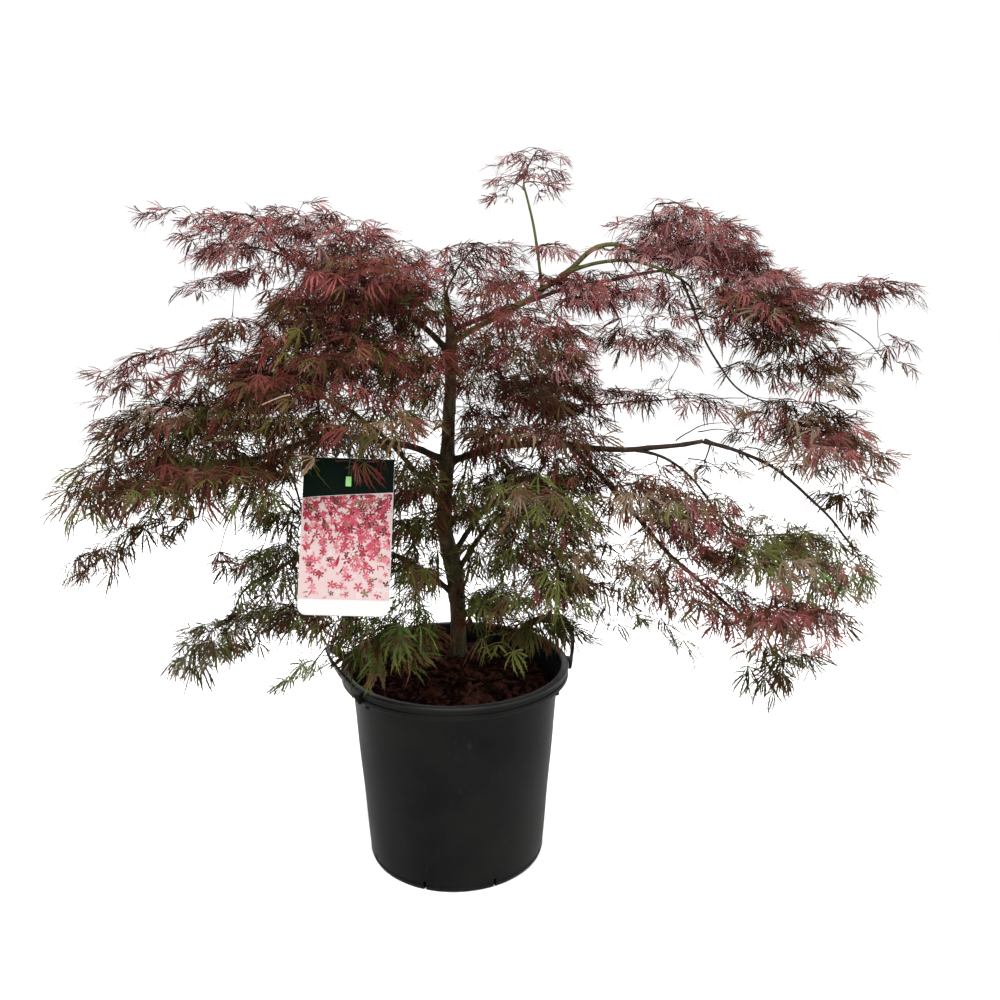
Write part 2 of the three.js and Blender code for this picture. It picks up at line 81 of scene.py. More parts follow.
# Masses, as in the frame: middle, half sizes, turn, droop, lean, (lobe bearing,
# amount); then how the foliage fills them: palette, fill, hang (how steeply the
# leaves hang) and layers.
MASSES = [
    ("mass_left_top", (-165, 55, 744), (132, 100, 38), 2, 26, -0.09, (176, 0.2), "red", 1, 0.2, 3),
    ("mass_left_skirt", (-272, 25, 690), (48, 54, 24), 20, 14, 0.1, None, "red", 0.5, 0.4, 1),
    ("mass_left_shoulder", (-104, 0, 690), (112, 122, 42), -12, 28, 0.05, None, "wine", 1.2, 0.3, 3),
    ("mass_left_dome", (-134, -66, 606), (132, 140, 38), 10, 48, 0.1, None, "dusk", 1.05, 0.38, 3),
    ("mass_left_spray", (-320, 5, 597), (94, 78, 28), -8, 30, 0.1, (180, 0.1), "wine", 0.34, 0.28, 2),
    ("mass_left_shelf_mid", (-294, -60, 548), (104, 94, 30), 6, 24, 0.06, None, "shelf", 0.98, 0.35, 2),
    ("mass_left_shelf_low", (-284, -116, 506), (126, 112, 28), 14, 24, 0.06, (184, 0.1), "shelf", 1.15, 0.38, 2),
    ("mass_left_tuft", (-382, -60, 388), (60, 46, 30), 0, 14, 0.35, None, "shelf", 0.35, 0.8, 1),
    ("mass_front_left", (-84, -160, 560), (74, 74, 22), -10, 22, 0, None, "shelf", 0.95, 0.4, 1),
    ("mass_left_low_inner", (-212, -40, 372), (54, 56, 32), 0, 26, 0.3, None, "olive", 0.95, 0.5, 2),
    ("mass_left_low_fall", (-276, -50, 291), (56, 48, 24), 8, 22, 0.5, None, "olive", 1.4, 0.5, 1),
    ("mass_label_side", (-46, -30, 426), (34, 56, 84), 0, 6, 0, None, "olive", 2.3, 0.55, 4),
    ("mass_rim_left", (-74, -88, 312), (72, 48, 28), 6, 20, 0.05, None, "rim", 1.5, 0.6, 2),
    ("mass_ridge", (30, 112, 708), (88, 66, 42), -6, 20, -0.02, None, "red", 0.7, 0.28, 3),
    ("mass_centre_red", (88, -42, 640), (94, 82, 34), 6, 24, -0.14, None, "wine", 0.8, 0.35, 2),
    ("mass_centre_brown", (100, 38, 558), (92, 88, 30), -8, 18, 0.02, None, "brown", 1, 0.38, 2),
    ("mass_centre_fall", (106, -48, 416), (76, 82, 76), 12, 34, -0.1, None, "olive", 1.5, 0.5, 5),
    ("mass_rim_right", (100, -18, 292), (54, 50, 24), -14, 16, 0, None, "rim", 1.4, 0.65, 1),
    ("mass_leader", (92, 58, 822), (52, 44, 34), 10, 12, 0.2, None, "red", 1.15, 0.25, 2),
    ("mass_shoulder_red", (152, 14, 686), (58, 56, 28), 12, 16, 0.04, None, "red", 1.4, 0.3, 1),
    ("mass_right_top", (282, 66, 748), (110, 98, 38), -6, 30, -0.12, None, "red", 1, 0.25, 2),
    ("mass_right_outer", (356, 24, 680), (102, 100, 40), -12, 42, -0.26, None, "red", 1.05, 0.32, 3),
    ("mass_right_star", (500, 30, 686), (64, 40, 24), 4, 10, -0.12, None, "dark", 0.6, 0.2, 1),
    ("mass_right_thread", (518, 18, 600), (34, 30, 46), 0, 8, -0.7, None, "bronze", 0.15, 0.6, 1),
    ("mass_right_inner", (232, 16, 616), (82, 62, 28), 14, 30, -0.12, None, "wine", 0.6, 0.35, 1),
    ("mass_right_cascade_up", (404, 16, 600), (80, 84, 42), -10, 36, -0.16, None, "brown", 0.6, 0.38, 2),
    ("mass_right_cascade_low", (434, -30, 510), (86, 92, 28), -8, 34, -0.18, None, "brown", 0.85, 0.4, 1),
    ("mass_right_low_upper", (256, -58, 440), (94, 82, 36), 8, 36, -0.28, None, "bronze", 1.15, 0.45, 2),
    ("mass_right_green", (396, -64, 386), (104, 92, 28), -6, 32, -0.1, None, "green", 0.78, 0.42, 2),
    ("mass_right_low_red", (360, -130, 338), (94, 84, 20), 6, 20, -0.06, None, "rust", 1.35, 0.38, 1),
    ("mass_right_tuft", (371, -90, 262), (44, 42, 26), 0, 12, 0, None, "green", 1.9, 0.75, 1),
    ("mass_right_stray", (226, -60, 302), (52, 28, 18), 0, 12, -0.5, None, "green", 0.3, 0.5, 1),
    ("mass_back_left_high", (-160, 232, 640), (112, 104, 34), 24, 46, 0.08, None, "wine", 0.9, 0.35, 2),
    ("mass_back_left_low", (-188, 226, 462), (122, 104, 26), 18, 44, 0.14, None, "bronze", 0.8, 0.45, 1),
    ("mass_back_middle", (92, 262, 566), (126, 92, 36), -6, 44, -0.06, None, "bronze", 0.9, 0.4, 2),
    ("mass_back_middle_low", (112, 236, 372), (92, 78, 30), -18, 34, -0.1, None, "green", 0.8, 0.5, 1),
    ("mass_back_right_high", (352, 218, 716), (112, 96, 28), -18, 40, -0.2, None, "red", 0.85, 0.35, 1),
    ("mass_back_right_low", (446, 188, 342), (98, 84, 28), -14, 40, -0.3, None, "green", 0.3, 0.5, 1),
]
UNEVEN = 0.15
LABEL = dict(width=92, height=160, thick=1.6, corner=9, at=(-109, -172, 456), pitch=-19, roll=2.4, lift=30)
LEAF_LENGTH = 33.0       # the middle lobe
PETIOLE = 24.0
NODE_STEP = 23.0         # between pairs of leaves on a shoot

# leaf tints, linear colour, and what share each palette deals of each
TINTS = {
    "umber": (0.0235, 0.0092, 0.0046), "wine_dark": (0.0330, 0.0080, 0.0066), "wine": (0.0560, 0.0155, 0.0130),
    # the pale greyish red among these is a painted sheen, light glancing off the tops of lit leaves
    "wine_light": (0.100, 0.0300, 0.0285), "dusty_red": (0.122, 0.061, 0.058), "ember": (0.060, 0.0215, 0.0125),
    "bronze_dark": (0.0270, 0.0150, 0.0066), "bronze": (0.051, 0.0310, 0.0160), "tan": (0.092, 0.065, 0.044),
    "green_dark": (0.0195, 0.0205, 0.0058), "green": (0.044, 0.048, 0.0135), "green_fresh": (0.050, 0.082, 0.021),
    "sage": (0.076, 0.080, 0.041), "moss": (0.046, 0.0405, 0.0110), "blush": (0.084, 0.046, 0.030),
}
# each palette deals by how open to the light a spray is: shaded, between, lit
PALETTES = {
    "red": ({"wine_dark": 3, "wine": 4}, {"wine": 3, "wine_dark": 1, "wine_light": 4, "dusty_red": 1}, {"wine_light": 5, "wine": 1, "dusty_red": 4}),
    "dusk": ({"umber": 4, "green_dark": 2, "wine_dark": 2}, {"wine_dark": 3, "bronze_dark": 3, "umber": 1, "wine": 2, "green_dark": 1},
             {"wine": 3, "bronze": 2, "bronze_dark": 3, "moss": 1, "ember": 1, "wine_dark": 2}),
    "fan": ({"green": 1}, {"green_fresh": 1, "green": 1}, {"green_fresh": 3, "green": 2}),
    "wine": ({"umber": 3, "wine_dark": 4, "bronze_dark": 1}, {"wine_dark": 2, "wine": 5, "bronze_dark": 1, "ember": 1},
             {"wine": 4, "wine_light": 2, "ember": 1, "bronze": 2, "wine_dark": 2}),
    "dark": ({"umber": 2, "wine_dark": 4}, {"umber": 1, "wine_dark": 4}, {"wine_dark": 4, "wine": 1, "dusty_red": 1}),
    # core: deep tints, painted shade for the leaves inside and under the masses
    "core": ({"umber": 5, "green_dark": 2, "bronze_dark": 1}, {"bronze_dark": 4, "umber": 2, "green_dark": 3, "wine_dark": 2},
             {"bronze": 1, "wine": 1, "moss": 1, "green_dark": 3, "umber": 3, "bronze_dark": 4}),
    "shelf": ({"umber": 3, "bronze_dark": 3, "green_dark": 3}, {"bronze_dark": 4, "bronze": 3, "green_dark": 3, "wine_dark": 1, "moss": 1},
              {"bronze": 3, "tan": 1, "bronze_dark": 4, "green": 1, "green_dark": 2, "moss": 1, "wine": 1}),
    "bronze": ({"umber": 3, "bronze_dark": 3, "green_dark": 2}, {"bronze_dark": 3, "bronze": 4, "green_dark": 1, "wine": 2, "moss": 1},
               {"bronze": 4, "tan": 3, "wine_light": 2, "moss": 1, "green": 1}),
    "brown": ({"bronze_dark": 4, "bronze": 2, "umber": 1, "wine_dark": 1}, {"bronze": 4, "tan": 2, "wine": 2, "bronze_dark": 1},
              {"tan": 4, "bronze": 3, "wine_light": 2, "dusty_red": 1, "moss": 1}),
    "olive": ({"umber": 1, "green_dark": 4, "bronze_dark": 1, "green": 2}, {"green_dark": 2, "bronze": 2, "green": 4, "moss": 1, "tan": 1},
              {"green": 4, "bronze": 2, "sage": 3, "tan": 2, "moss": 1}),
    "green": ({"green_dark": 4, "bronze_dark": 1, "green": 1}, {"green": 4, "green_dark": 1, "bronze": 2, "sage": 1}, {"green": 2, "sage": 4, "green_fresh": 1, "tan": 2, "moss": 1}),
    "rim": ({"green_dark": 3, "umber": 1}, {"green": 5, "green_dark": 3, "green_fresh": 1}, {"green_fresh": 3, "green": 4, "green_dark": 2}),
    "rust": ({"wine_dark": 3, "bronze_dark": 2}, {"wine": 3, "ember": 3, "bronze": 2}, {"wine_light": 3, "ember": 3, "bronze": 2, "dusty_red": 1}),
}
# how large the leaves of a palette are, and how close their pairs stand
GRAIN = {"red": 0.84, "wine": 0.9, "dark": 0.95, "rust": 0.85, "fan": 1.25, "rim": 1.2, "green": 1.05, "core": 0.92}
# the ends of the lobes: another tint than the leaf's heart, and how often
ENDS = {"green": ("bronze", 0.45), "green_fresh": ("blush", 0.5), "green_dark": ("umber", 0.4), "sage": ("tan", 0.5),
        "bronze": ("wine", 0.3), "bronze_dark": ("wine_dark", 0.4), "tan": ("wine_light", 0.3), "wine": ("wine_light", 0.25),
        "wine_light": ("dusty_red", 0.3), "wine_dark": ("wine", 0.3), "umber": ("bronze_dark", 0.35), "dusty_red": ("wine_light", 0.3),
        "blush": ("wine_light", 0.5), "ember": ("wine", 0.35), "moss": ("bronze", 0.4)}

# Thin sprays that join the masses, given the same way.
FRINGES = [
    ("under_centre", (94, -30, 529), (84, 50, 20), 0, 10, 0, None, "brown", 1.2, 0.4, 1),
    ("below_arch", (107, -10, 478), (82, 60, 24), 0, 12, 0, None, "bronze", 1.1, 0.4, 2),
    ("centre_foot", (89, -34, 340), (72, 50, 22), 0, 16, 0, None, "olive", 0.8, 0.5, 1),
    ("trunk_left", (-7, -16, 570), (22, 24, 22), 0, 8, 0, None, "wine", 2.4, 0.4, 2),
    ("card_left", (-183, -70, 355), (38, 40, 42), 0, 14, 0.2, None, "olive", 1.3, 0.45, 2),
    ("card_left_high", (-192, -40, 422), (32, 38, 44), 0, 14, 0.1, None, "olive", 1.5, 0.45, 2),
    ("right_row_low", (255, 10, 567), (92, 44, 12), 0, 10, -0.1, None, "wine", 0.8, 0.3, 1),
    ("cascade_middle", (400, 0, 548), (88, 60, 18), -8, 24, -0.1, None, "brown", 0.5, 0.35, 1),
    ("low_right_middle", (257, -90, 373), (88, 52, 28), 8, 24, -0.2, None, "bronze", 0.95, 0.4, 2),
    ("window_sill", (233, -40, 490), (58, 40, 12), 0, 12, -0.1, None, "bronze", 0.14, 0.35, 1),
    ("star_foot", (454, 20, 689), (30, 24, 16), 0, 8, 0, None, "dark", 1.4, 0.3, 1),
    ("trunk_top", (-18, -8, 636), (46, 46, 44), 0, 10, 0, None, "wine", 1.2, 0.35, 2),
    ("shelf_corner", (-185, -130, 577), (62, 36, 38), 0, 14, 0, None, "core", 2.0, 0.45, 2),
    ("low_left_middle", (-258, -50, 310), (46, 34, 20), 10, 14, 0.4, None, "olive", 0.8, 0.4, 1),
    ("leader_low", (120, 60, 742), (30, 26, 10), 0, 6, -0.1, None, "red", 0.8, 0.3, 1),
    ("left_tip", (-302, 44, 781), (48, 26, 8), 0, 6, 0.02, None, "red", 0.5, 0.15, 1),
    ("under_card", (-154, -100, 339), (44, 36, 20), 0, 12, 0, None, "olive", 2.0, 0.5, 2),
    ("right_top_low", (217, 30, 694), (76, 46, 22), 0, 14, -0.1, None, "red", 1.2, 0.35, 2),
    ("right_outer_low", (336, 0, 651), (62, 46, 18), 0, 20, -0.15, None, "wine", 0.85, 0.4, 2),
    ("left_link", (-244, -10, 645), (46, 40, 16), 0, 12, 0.1, None, "wine", 0.9, 0.35, 1),
    ("trunk_front", (-4, -14, 456), (26, 24, 38), 0, 6, 0, None, "bronze", 1.6, 0.5, 2),
    ("arch_root", (34, 6, 524), (26, 30, 36), 0, 6, 0, None, "bronze", 2.4, 0.45, 2),
    ("trunk_right_low", (36, 4, 323), (30, 36, 30), 0, 6, 0, None, "olive", 2.6, 0.5, 2),
    ("right_of_centre", (178, -50, 396), (26, 26, 14), 0, 8, 0, None, "bronze", 0.8, 0.5, 1),
    ("over_card", (-117, -170, 531), (44, 18, 14), 0, 6, 0, None, "bronze", 2.2, 0.85, 1),
    ("ridge_front", (63, 10, 683), (54, 34, 26), 0, 10, -0.05, None, "wine", 1.3, 0.3, 2),
    ("trunk_right", (36, 6, 414), (28, 40, 84), 0, 6, 0, None, "olive", 3.6, 0.5, 3),
    ("trunk_left_low", (-36, 0, 379), (28, 40, 66), 0, 6, 0, None, "olive", 3.0, 0.5, 3),
    ("cascade_foot", (437, -30, 484), (62, 52, 16), -8, 24, -0.1, None, "brown", 0.3, 0.4, 1),
    ("green_star", (186, -40, 326), (24, 22, 14), 0, 8, 0, None, "green", 0.7, 0.5, 1),
    ("low_right_foot", (246, -90, 350), (56, 40, 12), 4, 16, -0.3, None, "olive", 0.3, 0.5, 1),
    ("pot_side", (-179, -96, 266), (22, 18, 10), 0, 6, 0.2, None, "olive", 0.5, 0.5, 1),
    ("left_root", (-48, -20, 498), (28, 26, 14), 0, 6, 0, None, "brown", 0.7, 0.5, 2),
    ("trunk_side", (21, 10, 566), (20, 26, 32), 0, 6, 0, None, "wine", 1.6, 0.4, 2),
    ("right_window", (251, 10, 663), (36, 30, 12), 0, 8, 0, None, "wine", 0.9, 0.35, 1),
    ("shoot_foot", (196, 44, 737), (30, 24, 12), 0, 6, 0, None, "red", 1.5, 0.3, 1),
    ("star_heart", (478, 20, 689), (26, 24, 12), 0, 6, 0, None, "dark", 1.9, 0.25, 1),
    ("star_small", (516, 20, 640), (18, 16, 8), 0, 4, 0, None, "dark", 1.5, 0.25, 1),
    ("cascade_hang", (470, -20, 440), (28, 24, 26), 0, 10, -0.3, None, "bronze", 1.5, 0.6, 1),
    ("low_right_twig", (279, -80, 401), (42, 30, 12), 0, 8, -0.3, None, "bronze", 1.7, 0.4, 1),
    ("spray_gap", (-253, -10, 620), (36, 30, 14), 0, 8, 0.1, None, "wine", 0.6, 0.35, 1),
    ("shelf_hang", (-316, -60, 445), (36, 26, 8), 0, 8, 0.1, None, "olive", 0.7, 0.5, 1),
    ("inner_left_low", (-237, -50, 397), (24, 24, 14), 0, 6, 0.1, None, "olive", 0.4, 0.5, 1),
    ("rim_over", (-60, -30, 314), (46, 28, 10), 0, 6, 0, None, "rim", 1.4, 0.6, 1),
    ("arch_over", (135, -30, 508), (48, 34, 12), 0, 8, 0, None, "bronze", 0.8, 0.4, 1),
    ("grip_leaves", (143, -30, 313), (24, 22, 28), 0, 8, 0, None, "olive", 0.9, 0.7, 1),
    ("red_tip", (409, -110, 333), (34, 28, 14), 0, 10, -0.2, None, "green", 1.0, 0.5, 1),
    ("rim_fan", (58, -62, 299), (20, 20, 8), 0, 4, 0, None, "fan", 2.4, 0.85, 1),
    ("neck_left", (-31, -10, 662), (32, 28, 18), 0, 6, 0, None, "wine", 1.8, 0.35, 1),
    ("shelf_tip", (-378, -110, 517), (30, 28, 10), 0, 8, 0.1, None, "shelf", 0.4, 0.4, 1),
    ("skirt_in", (-224, 20, 708), (30, 24, 16), 0, 6, 0, None, "red", 2.6, 0.35, 1),
    ("tuft_tip", (-411, -60, 400), (20, 20, 18), 0, 6, 0.2, None, "shelf", 3.0, 0.6, 1),
    ("low_upper_in", (195, -70, 441), (38, 30, 14), 0, 8, -0.2, None, "bronze", 0.9, 0.4, 1),
    ("casc_in", (357, -10, 526), (30, 26, 8), 0, 6, 0, None, "bronze", 0.8, 0.4, 1),
    ("card_right", (-46, -30, 460), (24, 24, 18), 0, 6, 0, None, "olive", 1.4, 0.5, 1),
    ("fork_leaves", (17, -10, 477), (34, 28, 12), 0, 6, 0, None, "bronze", 1.4, 0.45, 1),
    ("foot_leaves", (9, 10, 322), (28, 26, 10), 0, 6, 0, None, "olive", 1.2, 0.5, 1),
    ("spray_in", (-277, -40, 610), (26, 24, 12), 0, 6, 0.1, None, "wine", 0.6, 0.35, 1),
    ("shelf_in", (-200, -130, 559), (34, 26, 14), 0, 8, 0, None, "core", 1.2, 0.4, 1),
    ("card_left_low", (-198, -60, 462), (34, 26, 20), 0, 8, 0.1, None, "olive", 1.1, 0.5, 2),
    ("under_left", (-192, -70, 340), (38, 28, 10), 0, 6, 0.1, None, "olive", 1.4, 0.5, 1),
    ("tuft_in", (-353, -60, 432), (26, 22, 6), 0, 6, 0.1, None, "shelf", 0.5, 0.5, 1),
    ("peak", (262, 60, 786), (30, 26, 12), 0, 8, -0.05, None, "red", 0.7, 0.2, 1),
    ("arch_drop", (294, -20, 490), (32, 26, 10), 0, 8, -0.1, None, "bronze", 0.9, 0.5, 1),
    ("row_end", (337, 10, 602), (26, 26, 14), 0, 8, -0.1, None, "wine", 0.35, 0.35, 1),
    ("casc_edge", (444, -20, 586), (26, 22, 20), 0, 8, -0.3, None, "brown", 1.3, 0.35, 1),
    ("ridge_low", (99, 30, 706), (40, 28, 10), 0, 6, 0, None, "wine", 1.0, 0.3, 1),
    ("shoulder_in", (155, 30, 680), (34, 26, 10), 0, 6, 0, None, "red", 2.0, 0.3, 1),
    ("fall_end", (-251, -60, 289), (26, 24, 8), 0, 6, 0.2, None, "olive", 1.4, 0.6, 1),
    ("card_edge", (-183, -66, 394), (18, 24, 36), 0, 8, 0, None, "olive", 2.0, 0.5, 2),
    ("rim_edge_left", (-145, -112, 296), (22, 20, 12), 0, 6, 0, None, "olive", 1.2, 0.6, 1),
    ("low_red_in", (312, -100, 357), (30, 26, 10), 0, 8, -0.2, None, "rust", 1.6, 0.4, 1),
    ("green_low", (407, -90, 369), (30, 24, 12), 0, 8, -0.2, None, "green", 1.3, 0.5, 1),
    ("tuft_top", (377, -96, 292), (24, 20, 10), 0, 6, 0, None, "green", 1.5, 0.6, 1),
]
# bare twigs that show between the masses: root, tip, rise, radii
BARE = [
    ("arch_far", (415, 10, 660), (524, 10, 602), 20, (1.0, 0.5)),
    ("over_low_a", (261, -12, 524), (319, -20, 546), 7, (0.9, 0.4)),
    ("over_low_b", (286, -16, 535), (338, -24, 533), 4, (0.8, 0.4)),
    ("under_low", (272, -30, 506), (317, -40, 489), 5, (0.9, 0.4)),
    ("cascade_bare", (355, -30, 492), (434, -34, 497), 9, (0.8, 0.4)),
    ("pale_a", (-152, -212, 605), (-178, -216, 596), 1, (0.8, 0.5)),
    ("pale_b", (-148, -205, 601), (-177, -220, 558), 2, (0.5, 0.35)),
    ("pale_c", (-174, -205, 575), (-242, -215, 560), -3, (0.5, 0.35)),
    ("rim_twig", (-140, -130, 320), (-166, -136, 283), 2, (0.9, 0.5)),
    ("spray_long", (-247, -10, 642), (-412, -14, 592), 8, (1.2, 0.5)),
    ("row", (160, 10, 563), (348, 10, 571), 3, (1.1, 0.5)),
    ("dead_twig", (-240, -60, 469), (-263, -64, 411), 5, (0.8, 0.5)),
]
# masses whose lower shoots are dealt deeper tints from another palette: painted shade under the upper layer, together
# with the browner, greener tone of the lower shoots
UNDER = {
    "mass_left_dome": "core", "mass_left_shoulder": "core", "mass_left_shelf_mid": "core", "mass_left_shelf_low": "olive",
    "mass_front_left": "core", "mass_centre_red": "core", "mass_left_spray": "bronze", "mass_right_outer": "bronze",
    "mass_right_low_red": "olive", "mass_right_cascade_low": "bronze",
}

# spaces kept open, each an ellipsoid: middle, half sizes
OPEN = [
    ((-4, -60, 350), (15, 100, 70)),       # in front of the trunk, low
    ((-4, -60, 555), (13, 100, 48)),       # and high
]


# --------------------------------------------------------------------- helpers
class Pile:
    """Vertices and faces gathered from many small shapes, for one joined mesh."""

    def __init__(self):
        self.verts, self.tris, self.quads, self.count = [], [], [], 0

    def add(self, verts, tris=None, quads=None):
        verts = np.asarray(verts, dtype=np.float64).reshape(-1, 3)
        self.verts.append(verts)
        if tris is not None and len(tris):
            self.tris.append(np.asarray(tris, dtype=np.int64).reshape(-1, 3) + self.count)
        if quads is not None and len(quads):
            self.quads.append(np.asarray(quads, dtype=np.int64).reshape(-1, 4) + self.count)
        self.count += len(verts)

    def triangles(self):
        return sum(len(t) for t in self.tris) + 2 * sum(len(q) for q in self.quads)

    def object(self, name, material, smooth=False):
        verts = np.concatenate(self.verts) * MM
        loops, starts, totals = [], [], []
        at = 0
        for group, n in ((self.tris, 3), (self.quads, 4)):
            if group:
                faces = np.concatenate(group)
                loops.append(faces.ravel())
                starts.append(at + n * np.arange(len(faces)))
                totals.append(np.full(len(faces), n))
                at += n * len(faces)
        loops, starts, totals = np.concatenate(loops), np.concatenate(starts), np.concatenate(totals)
        mesh = bpy.data.meshes.new(name)
        mesh.vertices.add(len(verts))
        mesh.vertices.foreach_set("co", verts.ravel().astype(np.float32))
        mesh.loops.add(len(loops))
        mesh.loops.foreach_set("vertex_index", loops.astype(np.int32))
        mesh.polygons.add(len(starts))
        mesh.polygons.foreach_set("loop_start", starts.astype(np.int32))
        mesh.polygons.foreach_set("loop_total", totals.astype(np.int32))
        mesh.polygons.foreach_set("use_smooth", np.full(len(starts), bool(smooth)))
        mesh.update(calc_edges=True)
        mesh.validate()
        ob = bpy.data.objects.new(name, mesh)
        bpy.context.scene.collection.objects.link(ob)
        mesh.materials.append(material)
        return ob


def unit(v):
    n = np.linalg.norm(v)
    return v / n if n > 1e-9 else np.array([0.0, 0.0, 1.0])


UP = np.array([0.0, 0.0, 1.0])


def frames(points):
    """A tangent and two sides at each point, turned as little as possible."""
    pts = np.asarray(points, dtype=float)
    tang = np.gradient(pts, axis=0)
    tang /= np.maximum(np.linalg.norm(tang, axis=1, keepdims=True), 1e-9)
    side = np.cross(tang[0], UP if abs(tang[0][2]) < 0.9 else np.array([1.0, 0, 0]))
    side = unit(side)
    sides = []
    for t in tang:
        side = unit(side - t * np.dot(side, t))
        sides.append(side)
    sides = np.array(sides)
    return tang, sides, np.cross(tang, sides)


def tube(pile, points, radii, around, relief=None, cap=True):
    """A closed tapering tube; relief(ring, angle) adds to the radius."""
    pts = np.asarray(points, dtype=float)
    n = len(pts)
    _, s, o = frames(pts)
    ang = 2 * np.pi * np.arange(around) / around
    r = np.repeat(np.asarray(radii, dtype=float)[:, None], around, 1)
    if relief is not None:
        r = r + relief
    ring = (pts[:, None] + s[:, None] * (r * np.cos(ang))[..., None] + o[:, None] * (r * np.sin(ang))[..., None])
    verts = ring.reshape(-1, 3)
    i = np.arange(around)
    j = (i + 1) % around
    k = np.arange(n - 1)[:, None] * around
    quads = np.stack([k + i, k + j, k + around + j, k + around + i], -1).reshape(-1, 4)
    tris = []
    if cap:
        verts = np.concatenate([verts, pts[:1], pts[-1:]])
        a, b = n * around, n * around + 1
        last = (n - 1) * around
        tris = np.concatenate([np.stack([np.full(around, a), j, i], -1),
                               np.stack([np.full(around, b), last + i, last + j], -1)])
    pile.add(verts, tris, quads)


def catmull(knots, count):
    """Points along a smooth curve through the knots, by Catmull and Rom's rule."""
    k = np.asarray(knots, dtype=float)
    ext = np.concatenate([[2 * k[0] - k[1]], k, [2 * k[-1] - k[-2]]])
    t = np.linspace(0, len(k) - 1, count)
    i = np.minimum(t.astype(int), len(k) - 2)
    f = (t - i)[:, None]
    p0, p1, p2, p3 = ext[i], ext[i + 1], ext[i + 2], ext[i + 3]
    return 0.5 * (2 * p1 + (p2 - p0) * f + (2 * p0 - 5 * p1 + 4 * p2 - p3) * f**2 + (3 * p1 - p0 - 3 * p2 + p3) * f**3)


# ------------------------------------------------------------------- materials
def material(name):
    m = bpy.data.materials.new(name)
    m.use_nodes = True
    nt = m.node_tree
    return m, nt, nt.nodes["Principled BSDF"]


def node(nt, kind, **inputs):
    n = nt.nodes.new(kind)
    for key, value in inputs.items():
        n.inputs[key.replace("_", " ")].default_value = value
    return n


def mixed(nt, fac, low, high):
    ramp = nt.nodes.new("ShaderNodeMix")
    ramp.data_type = "RGBA"
    nt.links.new(fac, ramp.inputs["Factor"])
    for socket, value in (("A", low), ("B", high)):
        sock = [s for s in ramp.inputs if s.name == socket and s.type == "RGBA"][0]
        if isinstance(value, (tuple, list)):
            sock.default_value = (*value[:3], 1)
        else:
            nt.links.new(value, sock)
    return [s for s in ramp.outputs if s.type == "RGBA"][0]


def ranged(nt, value, a, b, low, high):
    n = nt.nodes.new("ShaderNodeMapRange")
    nt.links.new(value, n.inputs["Value"])
    n.inputs["From Min"].default_value, n.inputs["From Max"].default_value = a, b
    n.inputs["To Min"].default_value, n.inputs["To Max"].default_value = low, high
    return n.outputs["Result"]


def noise_at(nt, scale, detail=3.0, rough=0.5, stretch=None):
    coord = nt.nodes.new("ShaderNodeTexCoord")
    out = coord.outputs["Object"]
    if stretch:
        mapping = nt.nodes.new("ShaderNodeMapping")
        mapping.inputs["Scale"].default_value = stretch
        nt.links.new(out, mapping.inputs["Vector"])
        out = mapping.outputs["Vector"]
    n = nt.nodes.new("ShaderNodeTexNoise")
    n.inputs["Scale"].default_value, n.inputs["Detail"].default_value = scale, detail
    n.inputs["Roughness"].default_value = rough
    nt.links.new(out, n.inputs["Vector"])
    return n.outputs["Fac"]


def bump(nt, bsdf, height, strength, distance):
    b = nt.nodes.new("ShaderNodeBump")
    b.inputs["Strength"].default_value, b.inputs["Distance"].default_value = strength, distance
    nt.links.new(height, b.inputs["Height"])
    nt.links.new(b.outputs["Normal"], bsdf.inputs["Normal"])


def leaf_material(name, tint):
    m, nt, bsdf = material(name)
    fac = noise_at(nt, 60, 2)
    low = tuple(c * 0.78 for c in tint)
    high = tuple(min(1, c * 1.24) for c in tint)
    nt.links.new(mixed(nt, ranged(nt, fac, 0.35, 0.65, 0, 1), low, high), bsdf.inputs["Base Color"])
    bsdf.inputs["Roughness"].default_value = 0.5
    bsdf.inputs["Specular IOR Level"].default_value = 0.0
    return m


def bark_material(name, dark, light, streak):
    m, nt, bsdf = material(name)
    grain = noise_at(nt, 220, 5, 0.6, (1, 1, 0.18))
    patch = noise_at(nt, 26, 3, 0.55)
    base = mixed(nt, ranged(nt, grain, 0.36, 0.66, 0, 1), dark, light)
    nt.links.new(mixed(nt, ranged(nt, patch, 0.5, 0.68, 0, 0.75), base, streak), bsdf.inputs["Base Color"])
    nt.links.new(ranged(nt, grain, 0.3, 0.7, 0.62, 0.85), bsdf.inputs["Roughness"])
    bsdf.inputs["Specular IOR Level"].default_value = 0.08
    bump(nt, bsdf, grain, 0.5, 0.0008)
    return m


def plastic_material(name):
    m, nt, bsdf = material(name)
    cloud = noise_at(nt, 9, 4, 0.6)
    scuff = noise_at(nt, 150, 3, 0.7, (1, 1, 0.35))
    grain = noise_at(nt, 1400, 2, 0.5)
    base = mixed(nt, ranged(nt, cloud, 0.35, 0.7, 0, 1), (0.0012, 0.0013, 0.0017), (0.0042, 0.0043, 0.0036))
    nt.links.new(mixed(nt, ranged(nt, scuff, 0.62, 0.78, 0, 0.45), base, (0.014, 0.0125, 0.0105)), bsdf.inputs["Base Color"])
    nt.links.new(ranged(nt, cloud, 0.3, 0.7, 0.40, 0.52), bsdf.inputs["Roughness"])
    # the rolled rim is polished by handling, the wall is dull
    coord = nt.nodes.new("ShaderNodeTexCoord")
    split = nt.nodes.new("ShaderNodeSeparateXYZ")
    nt.links.new(coord.outputs["Object"], split.inputs[0])
    nt.links.new(ranged(nt, split.outputs["Z"], 0.2462, 0.2492, 0.028, 0.16), bsdf.inputs["Specular IOR Level"])
    bump(nt, bsdf, grain, 0.25, 0.0003)
    return m


